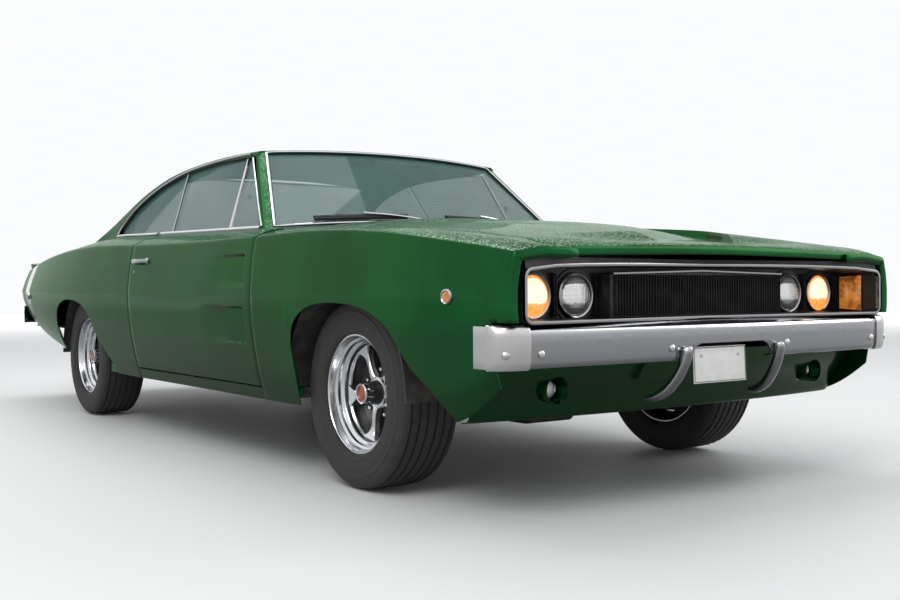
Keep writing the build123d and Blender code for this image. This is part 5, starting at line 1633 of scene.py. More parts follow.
@dataclass
class Headlamps:
    """Four sealed lamps with rings, retaining rings and bezels."""

    z: float = 672
    outer_x: float = 691
    inner_x: float = 517
    face_y: float = NOSE_Y + 186
    radius: float = 66
    steps: int = 56

    def build(self) -> None:
        """Build lenses, rings, bezels and the end panels of the bay, with a painted glow on the panels."""
        outer, inner = ([((side * x, self.face_y, self.z), REARWARDS) for side in SIDES.values()]
                        for x in (self.outer_x, self.inner_x))
        seats = [seat for pair in zip(outer, inner) for seat in pair]
        r = self.radius
        dome = [(-15, 0.01), (-14.6, 14), (-13, 30), (-10, 46), (-5.5, 58), (-1, 63.5), (3, r), (8, r),
                (8, 0.01)]
        ring = [(-3, r - 3), (-7, r - 1.5), (-8.5, r + 1.5), (-7, r + 5), (-2, r + 7), (10, r + 7),
                (10, r - 1), (-1, r - 1)]
        rear = [(12, r + 9), (9, r + 10), (8, r + 12), (9, r + 14), (12, r + 15), (16, r + 15), (16, r + 9)]
        bowl = [(4, r + 4), (4, r + 17), (30, r + 18), (30, r - 8), (9, r - 8)]
        Shop.turned("headlamp_lit", "lamp_lit", [dome], outer, self.steps, ["headlamps"])
        Shop.turned("headlamp_rings", "bright_trim", [ring, rear], seats, self.steps)
        Shop.turned("headlamp_bezels", "bezel_black", [bowl], seats, self.steps)
        Shop.turned("headlamp_clear", "lamp_clear", [dome], inner, self.steps)
        self.end_panels()

    def end_panels(self) -> None:
        """Glossy end panels of the bay, with the outer lamps' amber light painted on them as a glow."""
        panels = []
        for side in SIDES.values():
            outline = [(side * 812, NOSE_Y + 188, 612), (side * 832, NOSE_Y + 96, 606),
                       (side * 832, NOSE_Y + 96, 736), (side * 812, NOSE_Y + 188, 730)]
            panels.append(Shop.bevel(Shop.prism("end_panel", outline, (side * 3, 1, 0)), 1.2, 2, 50))
        # painted reflection of the lamps' light, given as an emissive amber finish
        Shop.dress(Shop.join("lamp_end_panels", *panels), "painted_amber_glow")


@dataclass
class Bumpers:
    """Front and rear bumpers with guards, end caps, bolts and plates."""

    front_plan: tuple[Point, ...] = ((0, 0, 92), (250, 4, 90), (560, 13, 82), (760, 22, 74), (824, 29, 66))
    cap_plan: tuple[Point, ...] = ((826, 29, 66), (862, 34, 56), (884, 41, 46), (905, 52, 36), (920, 64, 26),
                                   (930, 80, 14), (933, 92, 8))
    rear_plan: tuple[Point, ...] = ((0, 0, 58), (240, 3, 55), (560, 11, 47), (760, 18, 36), (830, 27, 20),
                                    (858, 38, 9), (866, 44, 6))
    bolt: Outline = ((-9, 0.01), (-8.6, 4), (-7, 8), (-3, 12), (0, 12.5), (6, 12.5), (6, 0.01))

    def build(self) -> None:
        """Build both bumpers and the plates."""
        self.front()
        self.guards()
        self.rear()
        self.plates()

    def bar(self, name: str, rows: Sequence[Point], end_y: float, inwards: int,
            section: Callable[[float], Outline]) -> Any:
        """A bumper bar.

        Args:
            name: the piece's name.
            rows: distance from the middle, setback and depth.
            end_y: the car's end.
            inwards: 1 at the nose, -1 at the tail.
            section: outline of the bar for its depth.

        Returns:
            The new bar.
        """
        return Shop.tube(name, [[(x, end_y + inwards * (back + reach), z) for reach, z in section(depth)]
                                for x, back, depth in rows])

    def rows(self, plan: Sequence[Point], step: float, mirror: bool = True) -> list[Point]:
        """Plan rows at even steps, over both halves if mirrored."""
        back = spline([(x, y) for x, y, _ in plan])
        deep = spline([(x, d) for x, _, d in plan])
        half = [(x, back(x), deep(x)) for x in spread([plan[0][0], plan[-1][0]], step)]
        return [(-x, y, d) for x, y, d in reversed(half[1:])] + half if mirror else half

    def front(self) -> None:
        """Front bar with its arch over the plate, and the two pale end caps."""
        def section(depth: float) -> Outline:
            """Outline of the bar: shelf, crisp edge, face and lower lip."""
            lip = min(depth - 2, 40)
            return [(depth, 590), (depth * 0.6, 588), (14, 580), (9, 578.5), (5, 576), (1.5, 570), (0.5, 564),
                    (0, 556), (1, 520), (3, 484), (5, 474), (8, 468), (14, 465), (lip, 465), (lip, 471),
                    (16, 471), (10, 480), (7, 520), (6, 560), (12, 572), (depth, 583)]

        bar = self.bar("front_bumper_bar", self.rows(self.front_plan, 40), NOSE_Y, 1, section)
        arch = [(-214, 440), (214, 440), (196, 486), (176, 508), (150, 518), (-150, 518), (-176, 508),
                (-196, 486)]
        Shop.cut(bar, Shop.prism("plate_arch", [(x, NOSE_Y - 40, z) for x, z in arch], (0, 200, 0)))
        Shop.bevel(bar, 1.0, 2, 50)
        Shop.dress(bar, "bright_trim", replaces=["front_bumper"])

        def cap_section(depth: float) -> Outline:
            """Outline of an end cap, a little fuller than the bar."""
            return [(depth, 592), (depth * 0.5, 590), (6, 585), (0, 576), (-3, 560), (-3, 520), (-1, 486),
                    (3, 470), (9, 463), (depth, 462), (depth, 468), (depth * 0.5, 470), (6, 478), (4, 520),
                    (4, 560), (depth, 585)]

        caps = []
        for side in SIDES.values():
            rows = [(side * x, y, d) for x, y, d in self.rows(self.cap_plan, 6, mirror=False)]
            cap = self.bar("cap", rows, NOSE_Y, 1, cap_section)
            wrap = Shop.sheet("wrap", 8, 5, lambda col, row: (
                side * (933 - col * 1.2), NOSE_Y + 92 + 11 * col,
                (588, 560, 525, 490, 466)[row] + (0, -1, 0, 1, 0)[row] * col))
            caps += [cap, Shop.thicken(face_out(wrap, (0, NOSE_Y + 100, 525)), 6)]
        body = Shop.join("front_bumper_caps", *caps)
        Shop.bevel(body, 1.2, 2, 55)
        Shop.dress(body, "end_cap_metal")
        front = spline([(x, y) for x, y, _ in self.front_plan + self.cap_plan[1:]])
        seats = [((side * x, NOSE_Y + front(x) + 2, 507), (side * lean, 1, 0)) for side in SIDES.values()
                 for x, lean in ((278, 0.08), (788, 0.08), (899, -0.35))]
        Shop.turned("bumper_bolts", "end_cap_metal", [self.bolt], seats, 20)

    def guards(self) -> None:
        """Two upright guards that curve back under the bumper."""
        guards = []
        for side in SIDES.values():
            line = smooth_path([(222, -8, 512), (224, -9, 500), (227, 2, 458), (232, 26, 414), (242, 66, 366),
                                (250, 112, 344), (253, 140, 342)], 6, 3)
            count = len(line)
            marks = [0, 2, 6, count - 10, count - 1]
            wide = np.interp(np.arange(count), marks, [6, 15, 19, 20, 15])
            deep = np.interp(np.arange(count), marks, [5, 12, 15, 16, 10])
            around = []
            for turn in (math.radians(a) for a in range(0, 360, 20)):
                c, s = math.cos(turn), math.sin(turn)
                around.append((math.copysign(abs(c) ** 0.8, c), s))
            rings = []
            for place, run, w, d in zip(line, np.gradient(line, axis=0), wide, deep):
                out = np.cross(run / np.linalg.norm(run), ACROSS)
                spots = [place + ACROSS * w * c + out * d * s for c, s in around]
                rings.append([(side * x, NOSE_Y + y, z) for x, y, z in spots])
            guards.append(Shop.tube("guard", rings))
        Shop.dress(Shop.join("bumper_guards", *guards), "bright_trim")

    def rear(self) -> None:
        """Rear bar with its bolts."""
        def section(depth: float) -> Outline:
            """Outline of the bar: shelf, face, lower lip."""
            return [(depth, 603), (min(8, depth), 597), (3, 592), (0.5, 584), (0, 570), (1, 530), (4, 502),
                    (8, 495), (depth, 493), (depth, 499), (12, 502), (7, 530), (6, 570), (12, 588),
                    (depth, 597)]

        bar = self.bar("rear_bumper_bar", self.rows(self.rear_plan, 40), TAIL_Y, -1, section)
        Shop.bevel(bar, 1.0, 2, 50)
        Shop.dress(bar, "bright_trim", replaces=["rear_bumper"])
        back = spline([(x, y) for x, y, _ in self.rear_plan])
        seats = [((side * x, TAIL_Y - back(x) - 3, 550), (0, -1, 0)) for side in SIDES.values()
                 for x in (300, 760)]
        head = [(-8, 0.01), (-7.6, 4), (-6, 8), (-2, 12), (2, 12.5), (8, 12.5), (8, 0.01)]
        Shop.turned("rear_bumper_bolts", "end_cap_metal", [head], seats, 20)

    def plates(self) -> None:
        """Blank number plates with a pressed edge and fixing screws."""
        faces, rims, seats = [], [], []
        half_w, half_h, tilt = 125, 58, 0.05
        corners = [(-half_w, -half_h), (half_w, -half_h), (half_w, half_h), (-half_w, half_h)]
        for x, y, z, way in ((-52, NOSE_Y + 14, 449, -1), (0, TAIL_Y - 60, 418, 1)):

            def place(dx: float, out: float, dz: float) -> Point:
                """Point on a plate."""
                return x + dx, y + way * out - way * tilt * dz, z + dz

            plate = Shop.prism("plate", [place(cx, 0, cz) for cx, cz in corners], (0, way * 2.4, 0))
            faces.append(Shop.bevel(plate, 1.0, 2, 60))
            rim = [place(cx * 0.97, 3, cz * 0.93) for cx, cz in corners]
            rims.append(Shop.pipe("rim", rim, [(-1.6, -1), (0, 1.6), (1.6, -1)], True, (0, way, 0)))
            back = [place(cx * 0.9, -6, cz * 0.8) for cx, cz in corners]
            rims.append(Shop.prism("bracket", back, (0, way * 4, 0)))
            seats += [(place(dx, 2, 30), (0, way, 0)) for dx in (-88, 88)]
        Shop.dress(Shop.join("plate_faces", *faces), "plate_blank", replaces=["number_plates"])
        Shop.dress(Shop.join("plate_rims", *rims), "plate_edge")
        head = [(4, 0.01), (4, 4), (2.5, 5.5), (-1, 6), (-1, 0.01)]
        Shop.turned("plate_screws", "end_cap_metal", [head], seats, 16)


@dataclass
class Valance:
    """Apron under the bumper with two small round lamps in teardrop recesses."""

    half: float = 866
    lamp_x: float = 621
    lamp_z: float = 388
    profile: Outline = ((80, 492), (92, 470), (106, 440), (126, 412), (160, 380), (192, 342), (212, 300),
                        (224, 291), (250, 288))

    def setback(self, x: float) -> float:
        """Sweep of the apron towards its ends."""
        return 60 * (abs(x) / self.half) ** 2.2

    def build(self) -> None:
        """Build the apron, its lamp bowls and lamps."""
        def point(x: float, spot: tuple[float, float]) -> Point:
            """Place of one point of the apron."""
            return x, NOSE_Y + self.setback(x) + spot[0], spot[1]

        sheet = Shop.skin("valance_skin", spread([-self.half, self.half], 30),
                          smooth_path(self.profile, 5, 3), point, (0, -2000, 400), 4)
        shell = [(-24, 42), (-20, 44), (6, 43), (34, 40), (46, 26), (46, 0.01), (43, 0.01), (43, 25),
                 (32, 37), (6, 40)]
        bowls, seats = [], []
        for side in SIDES.values():
            x, y, z = side * self.lamp_x, NOSE_Y + self.setback(self.lamp_x) + 146, self.lamp_z
            Shop.cut(sheet, Shop.rod("hole", (x, y - 90, z), (x, y + 60, z), 40, 40))
            bowls.append(Shop.spin("bowl", shell, (x, y, z), REARWARDS, 40))
            seats.append(((x, y, z), REARWARDS))
        Shop.bevel(sheet, 1.0, 2, 50)
        Shop.dress(Shop.join("valance_skin", sheet, *bowls), "body_paint", replaces=["front_valance"])
        lens = [(12, 0.01), (13, 12), (18, 22), (26, 28), (44, 29), (44, 0.01)]
        rim = [(22, 28), (20, 30), (22, 33), (30, 34), (44, 34), (44, 28)]
        Shop.turned("parking_lamp_glass", "lamp_white", [lens], seats, 36, ["marker_lamps"])
        Shop.turned("parking_lamp_rims", "bright_trim", [rim], seats, 36)
        self.markers()

    def markers(self) -> None:
        """Round side markers with bright rims."""
        seats = []
        for side in SIDES.values():
            for y in (NOSE_Y + 286, REAR_AXLE_Y + 1060):
                lean = (CREASE_X(y + 30) - CREASE_X(y - 30)) / 60
                seats.append(((side * (CREASE_X(y) - 3), y, 672), (side, -lean, 0)))
        lens = [(12, 0.01), (11.4, 7), (9, 14), (6, 18), (-4, 18), (-4, 0.01)]
        rim = [(-4, 17.5), (7, 17.5), (9, 19.5), (7.5, 23), (2, 25.5), (-4, 25.5)]
        Shop.turned("marker_lenses", "lamp_amber", [lens], seats, 32)
        Shop.turned("marker_rims", "bright_trim", [rim], seats, 32)


@dataclass
class Wheels:
    """Four deep chrome wheels with five spokes, and their tyres."""

    front_x: float = 755.5
    rear_x: float = 752.0
    hub_z: float = 332.0
    steps: int = 88
    spokes: int = 5
    first_spoke: float = 0.36
    fins: int = 10
    lugs: int = 60

    def build(self) -> None:
        """Build each wheel and tyre on its own body."""
        for side_name, side in SIDES.items():
            for end, x, y in (("front", self.front_x, FRONT_AXLE_Y), ("rear", self.rear_x, REAR_AXLE_Y)):
                self.wheel(f"{end}_{side_name}", side, (side * x, y, self.hub_z))
                self.tyre(f"{end}_{side_name}", side, (side * x, y, self.hub_z))

    def wheel(self, name: str, side: int, centre: Point) -> None:
        """One wheel: stepped rim, dark centre, spokes, cap and nuts."""
        axis = (side, 0, 0)
        body = f"wheel_{name}"
        rim = [(98, 208), (90, 208), (86, 203.5), (68, 200), (58, 188), (30, 177), (-40, 177), (-66, 192),
               (-86, 197), (-90, 208), (-98, 208), (-98, 204), (-90, 192), (-66, 180), (-52, 168), (12, 166),
               (20, 166.5), (25, 169), (28, 172), (32, 173), (40, 172.5), (46, 173.5), (50, 177), (52, 182),
               (55, 184.5), (62, 185), (66, 185.5), (69, 189), (71, 194), (76, 196), (86, 197.5), (91, 200),
               (95, 200.5), (98, 203)]
        Shop.dress(Shop.spin(f"rim_{name}", rim, centre, axis, self.steps), "wheel_chrome", body,
                   replaces=[f"wheel_{name}"])
        dish = [(-30, 166), (-34, 150), (-26, 90), (-20, 52), (-20, 20), (0, 20), (2, 52), (-2, 60),
                (-14, 92), (-24, 150), (-22, 166)]
        barrel = [(4, 43), (30, 41), (56, 35), (68, 33), (68, 20), (4, 20)]
        dark = [Shop.spin("dish", dish, centre, axis, 56), Shop.spin("barrel", barrel, centre, axis, 48)]
        collar = [(0, 44), (0, 58), (8, 60), (16, 56), (19, 48), (18, 43)]
        ring = [(62, 29), (62, 35.5), (70, 37), (79, 36), (82, 33), (81, 29), (76, 27.5)]
        bright = [Shop.spin("collar", collar, centre, axis, 48),
                  Shop.spin("cap_ring", ring, centre, axis, 48)]
        for k in range(self.fins):
            fin = Shop.box("fin", (0, -2.2, 33), (40, 2.2, 41))
            for vertex in fin.data.vertices:
                if vertex.co.x > 20 * MM:
                    vertex.co.z -= 6.5 * MM
            bright.append(self.place(fin, side, centre, math.tau * k / self.fins, 22))
        turns = [math.tau * (k + self.first_spoke) / self.spokes for k in range(self.spokes)]
        for turn in turns:
            bright.append(self.place(self.spoke(), side, centre, turn, 0))
            nut = Shop.spin("nut", [(-16, 9), (6, 9), (11, 5.5), (12, 0.01), (-16, 0.01)], (0, 0, 84),
                            (1, 0, 0), 6)
            bright.append(self.place(nut, side, centre, turn + math.pi / self.spokes, 0))
        Shop.dress(Shop.join(f"spokes_{name}", *bright), "wheel_chrome", body)
        dark += [self.place(self.web(), side, centre, turn, 0) for turn in turns]
        Shop.dress(Shop.join(f"wheel_centre_{name}", *dark), "wheel_black", body)
        face = [(70, 0.01), (78.5, 0.01), (77.5, 16), (75.5, 28.5), (70, 28.5)]
        Shop.dress(Shop.spin(f"cap_badge_{name}", face, centre, axis, 40), "cap_badge", body)

    def place(self, obj: Any, side: int, centre: Point, turn: float, along: float) -> Any:
        """Turn a piece made at the wheel's axis and set it in its wheel.

        Args:
            obj: the piece, made with X along the axle and Z up.
            side: which side of the car.
            centre: the wheel's centre.
            turn: angle round the axle.
            along: distance out along the axle.

        Returns:
            The piece.
        """
        flip = Matrix.Rotation(math.pi, 4, "Z") if side < 0 else Matrix.Identity(4)
        move = Matrix.Translation(Vector(centre) * MM) @ flip @ Matrix.Translation((along * MM, 0, 0))
        obj.data.transform(move @ Matrix.Rotation(turn, 4, "X"))
        return obj

    def spoke(self) -> Any:
        """A polished spoke: a raised frame that flares into the rim."""
        rows = [(52, 15, 16), (62, 11.5, 19), (80, 9.5, 20), (100, 9, 20), (120, 10, 19), (136, 13, 20),
                (148, 19, 23), (158, 29, 27), (167, 42, 31)]
        lines = []
        for r, half, high in rows:
            lines.append([(high - 16, -half, r), (high - 3, -half, r), (high, 2.5 - half, r), (high, 0, r),
                          (high, half - 2.5, r), (high - 3, half, r), (high - 16, half, r)])
        return Shop.tube("spoke", lines)

    def web(self) -> Any:
        """Dark web behind a spoke."""
        rows = [(50, 24, 2), (90, 17, 6), (130, 20, 4), (166, 34, 2)]
        return Shop.tube("web", [[(high - 18, -half, r), (high, -half, r), (high, half, r),
                                  (high - 18, half, r)] for r, half, high in rows])

    def tyre(self, name: str, side: int, centre: Point) -> None:
        """Tyre with its bead, ribbed sidewalls, shoulder lugs and grooved tread."""
        half = [(0, 331.2), (13, 331.2), (15, 324), (21, 324), (23, 331), (44, 330.6), (46, 323.5),
                (53, 323.5), (55, 330.2), (76, 329.2), (78, 322), (84, 322), (86, 328), (98, 325.5),
                (106, 320), (111, 312), (114.5, 300), (115, 292), (117, 290), (117.6, 286), (116.6, 283),
                (119, 268), (119.6, 256), (118.4, 244), (115.6, 232), (116.4, 230), (115.4, 227), (112, 219),
                (107, 213), (101, 209.5), (97, 208.6), (91, 207.6)]
        inner = [(80, 214), (60, 240), (0, 250)]
        around = half + inner
        outline = around + [(-a, r) for a, r in reversed(around[1:-1])]
        body = Shop.spin("tread", outline, centre, (side, 0, 0), self.steps)
        lug = Shop.box("lug", (-10, -8.5, 0), (10, 8.5, 1))
        for vertex in lug.data.vertices:
            a, r = (112, 309.5) if vertex.co.x > 0 else (88, 327.5)
            vertex.co = Vector((a, vertex.co.y / MM, r + (1.6 if vertex.co.z > 0 else -8))) * MM
        lugs = []
        for k in range(self.lugs):
            for way in (-1, 1):
                twin = Shop.copy(lug, "lug", Matrix.Diagonal((way, 1, 1, 1)))
                if way < 0:
                    twin.data.flip_normals()
                lugs.append(self.place(twin, side, centre, math.tau * (k + 0.25 * way) / self.lugs, 0))
        bpy.data.objects.remove(lug, do_unlink=True)
        Shop.dress(Shop.join(f"tyre_skin_{name}", body, *lugs), "tyre_rubber", f"wheel_{name}",
                   replaces=[f"tyre_{name}"])


@dataclass
class Glass:
    """Windshield, its bright frame, side glass, drip rails and window frames."""

    latch_y: float = -560.0
    handle_z: float = 838

    def build(self) -> None:
        """Build glass and trims."""
        self.windshield()
        self.rear_window()
        for side_name, side in SIDES.items():
            self.side_glass(side_name, side)
            self.rails(side_name, side)
            self.handle(side_name, side)
        self.quarter()

    def windshield(self) -> None:
        """Curved windshield with its dark upper edge and bright frame."""
        shares = spread([-1, 1], 0.05)
        rises = spread([0, 1], 0.05)

        def point(share: float, height: float, lift: float = -8.0) -> Any:
            """Place of one point of the glass."""
            low, high = glass_foot(share * 700) - 8, glass_head(share * 700) + 8
            rise = low + (high - low) * height
            return glass_point(share * (glass_half(rise) - 4), rise, lift)

        sheet = Shop.skin("windshield_glass", shares, rises, point, (0, 0, 900), 5)
        Shop.dress(sheet, "window_glass", replaces=["windshield"])
        band = Shop.sheet("windshield_band", len(shares), 3,
                          lambda col, row: point(shares[col], rises[row - 3], -14.5))
        Shop.dress(Shop.thicken(band, 1), "seal_rubber")
        left = [tuple(glass_point(-glass_half(r) + 5, r, 1.5)) for r in
                np.linspace(glass_foot(-740) + 4, glass_head(-600) - 2, 14)]
        top = [tuple(glass_point(x, glass_head(x) + 1, 1.5)) for x in np.linspace(-590, 590, 25)]
        right = [(-x, y, z) for x, y, z in reversed(left)]
        base = [tuple(glass_point(x, glass_foot(x) + 3, 1.0)) for x in np.linspace(735, -735, 27)]
        crown = [(-6.5, -4), (-5, 0.5), (0, 2.2), (5, 0.5), (6.5, -4)]
        seal = [(-9.5, -4), (-9, -1), (9, -1), (9.5, -4)]
        for name, section, finish in (("frame", crown, "bright_trim"), ("seal", seal, "seal_rubber")):
            trim = Shop.pipe(f"windshield_{name}", left + top + right + base, section, True, GLASS_OUT)
            Shop.dress(trim, finish)

    def rear_window(self) -> None:
        """Frame round the flat rear window, whose pane is the CAD node."""
        g = GREENHOUSE
        half, base, top = g.tunnel_x - 16, (g.glass_base_y - 12, 960), (g.roof_end_y + 14, 1292)
        corners = np.array([(-half, *base), (half, *base), (half, *top), (-half, *top)], float)
        ring = [here + (there - here) * k / 8 for here, there in zip(corners, np.roll(corners, -1, axis=0))
                for k in range(8)]
        section = [(-9, -4), (-7, 3), (0, 5), (7, 3), (9, -4)]
        Shop.dress(Shop.pipe("rear_window_frame", ring, section, True, (0, 0.33, 0.94)), "bright_trim")

    def pane(self, name: str, side: int, outline: Outline) -> Any:
        """Flat side pane on the slope of the pillars, 5 mm thick."""
        points = [(side * (side_line_x(z) - 9), y, z) for y, z in outline]
        pane = Shop.prism(name, points, (-side * 5, 0, 0))
        return Shop.bevel(pane, 1, 1, 50)

    def side_glass(self, side_name: str, side: int) -> None:
        """Door pane, vent pane with its frame, latch, belt trim and lock knob."""
        door = f"door_{side_name}"
        main = [(-528, 930), (-539, 968), (-432, 1284), (-425, 1292), (-118, 1298), (100, 1290), (252, 1281),
                (140, 980), (130, 935)]
        vent = [(-836, 930), (-842, 962), (-486, 1284), (-444, 1284), (-549, 966), (-549, 930)]
        panes = Shop.join(f"door_panes_{side_name}", self.pane("main", side, main),
                          self.pane("vent", side, vent))
        Shop.dress(panes, "window_glass", door, replaces=[f"door_glass_{side_name}"])

        def on_side(y: float, z: float, out: float = -4.0) -> Point:
            """Point on the window's slope."""
            return side * (side_line_x(z) + out), y, z

        section = [(-5.5, -5), (-4.5, 3), (0, 5), (4.5, 3), (5.5, -5)]
        normal = (side, 0, SIDE_SLOPE)
        front_edge = [on_side(-856 + 372 * k / 10, 958 + 328 * k / 10) for k in range(11)]
        bar = [on_side(-541 + 106 * k / 8, 962 + 322 * k / 8) for k in range(9)]
        rear = [on_side(136 + 118 * k / 8, 978 + 304 * k / 8) for k in range(9)]
        belt = [on_side(y, belt_z(y) + 7, 0) for y in np.linspace(-850, 284, 20)]
        trims = [Shop.pipe("frame", front_edge, section, False, normal),
                 Shop.pipe("bar", bar, [(-8, -5), (-6, 4), (0, 6), (6, 4), (8, -5)], False, normal),
                 Shop.pipe("rear", rear, [(-4, -5), (-4, 3), (4, 3), (4, -5)], False, normal),
                 Shop.pipe("belt", belt, [(-8, -4), (-8, 3), (-3, 6), (4, 5), (8, 2), (8, -4)], False,
                           normal)]
        x = side * (side_line_x(1108) - 24)
        latch = Shop.box("latch", (x - 5, self.latch_y - 12, 1096), (x + 5, self.latch_y + 12, 1120), 4)
        knob = Shop.weld(Shop.rod("knob", on_side(150, 950, -30), on_side(150, 988, -34), 5), fill=False)
        Shop.dress(Shop.join(f"door_window_trim_{side_name}", *trims, latch, knob), "bright_trim", door)

    def rails(self, side_name: str, side: int) -> None:
        """Drip rail over the side windows, and the frame round the fixed pane."""
        line = [(-466, 1303), (-440, 1307), (-300, 1309), (-118, 1309), (80, 1303), (286, 1289), (430, 1264),
                (558, 1237), (690, 1194), (805, 1142), (870, 1096), (914, 1046), (930, 1018), (932, 1004)]
        path = [(side * (side_line_x(z) + 3), y, z) for y, z in smooth_path(line, 4, 3)]
        normal = (side, 0, SIDE_SLOPE)
        rail = Shop.pipe("rail", path, [(-5, -4), (-5, 3), (-1, 7), (3, 7), (5, 3), (5, -4)], False, normal)
        seal_path = [(side * (side_line_x(z) - 4), y, z - 9) for y, z in smooth_path(line[:-2], 4, 3)]
        seal = Shop.pipe("seal", seal_path, [(-4, -8), (-4, 4), (4, 4), (4, -8)], False, normal)
        Shop.dress(seal, "seal_rubber")
        sill = [(side * (QUARTER_TOP_X(y) + 3), y, QUARTER_TOP_Z(y) + 5) for y in np.linspace(306, 936, 14)]
        sill_trim = Shop.pipe("sill", sill, [(-6, -4), (-6, 3), (0, 5), (6, 3), (6, -4)], False, normal)
        Shop.dress(Shop.join(f"roof_rail_{side_name}", rail, sill_trim), "bright_trim")

    def quarter(self) -> None:
        """Fixed rear side panes."""
        outline = [(146, 982), (262, 1278), (290, 1277), (552, 1226), (798, 1132), (900, 1036), (914, 1008),
                   (600, 985), (304, 975)]
        panes = [self.pane("quarter", side, outline) for side in SIDES.values()]
        Shop.dress(Shop.join("quarter_panes", *panes), "window_glass", replaces=["quarter_glass"])

    def handle(self, side_name: str, side: int) -> None:
        """Door handle with its button, round lock and their bases."""
        def on_skin(y: float, out: float = 0.0, z: float = self.handle_z) -> Point:
            """Point on the door's skin, at the handle's distance from the middle."""
            upper = side_section(y)[4 * PER: 6 * PER + 4]
            return side * (float(np.interp(self.handle_z, upper[:, 1], upper[:, 0])) + out), y, z

        path = [on_skin(y, out) for y, out in ((72, -2), (76, 8), (84, 15), (110, 19), (160, 20), (205, 19),
                                               (224, 14), (230, 4), (232, -4))]
        pieces = [Shop.pipe("grip", path, [(-5, -9), (-7, 0), (-5, 9), (3, 10), (6, 0), (3, -10)], False,
                            (0, 0, 1))]
        base = [(-4, 0.01), (-4, 15), (2, 15), (4, 12), (4, 0.01)]
        button = [(0, 0.01), (0, 11), (12, 11), (14, 8), (14, 0.01)]
        lock = [(-2, 0.01), (-2, 12), (3, 12), (5, 9), (4, 5), (3.4, 0.01)]
        for profile, centre in ((base, on_skin(76)), (base, on_skin(240)), (button, on_skin(243)),
                                (lock, on_skin(236, 4, 783))):
            pieces.append(Shop.spin("fitting", profile, centre, (side, 0, 0.05), 24))
        Shop.dress(Shop.join(f"door_handle_{side_name}", *pieces), "bright_trim", f"door_{side_name}")


@dataclass
class Wipers:
    """Two wipers parked at the foot of the windshield."""

    def build(self) -> None:
        """Build pivots, arms and blades on the curve of the glass."""
        dark, bright = [], []
        for start, end, pivot in ((-585, -150, -20), (60, 445, 560)):
            line = [glass_point(x, glass_foot(x) + 34, 5) for x in np.linspace(start, end, 12)]
            dark.append(Shop.pipe("blade", line, [(-13, -6), (-13, 3), (-4, 9), (4, 9), (13, 3), (13, -6)],
                                  False, GLASS_OUT))
            foot = glass_point(pivot, glass_foot(pivot) - 4, 6)
            middle = glass_point((start + end) / 2, glass_foot((start + end) / 2) + 38, 22)
            path = [foot + (middle - foot) * k / 8 + GLASS_OUT * 8 * math.sin(math.pi * k / 8)
                    for k in range(9)]
            bright.append(Shop.pipe("arm", path, [(-5, -2), (-5, 2), (0, 4), (5, 2), (5, -2)], False,
                                    GLASS_OUT))
            post = Shop.rod("post", foot + (0, 0, -26), foot + (0, 0, 5), 12)
            bright.append(Shop.weld(post, fill=False))
        Shop.dress(Shop.join("wiper_blades", *dark), "seal_rubber", replaces=["wipers"])
        Shop.dress(Shop.join("wiper_arms", *bright), "bright_trim")


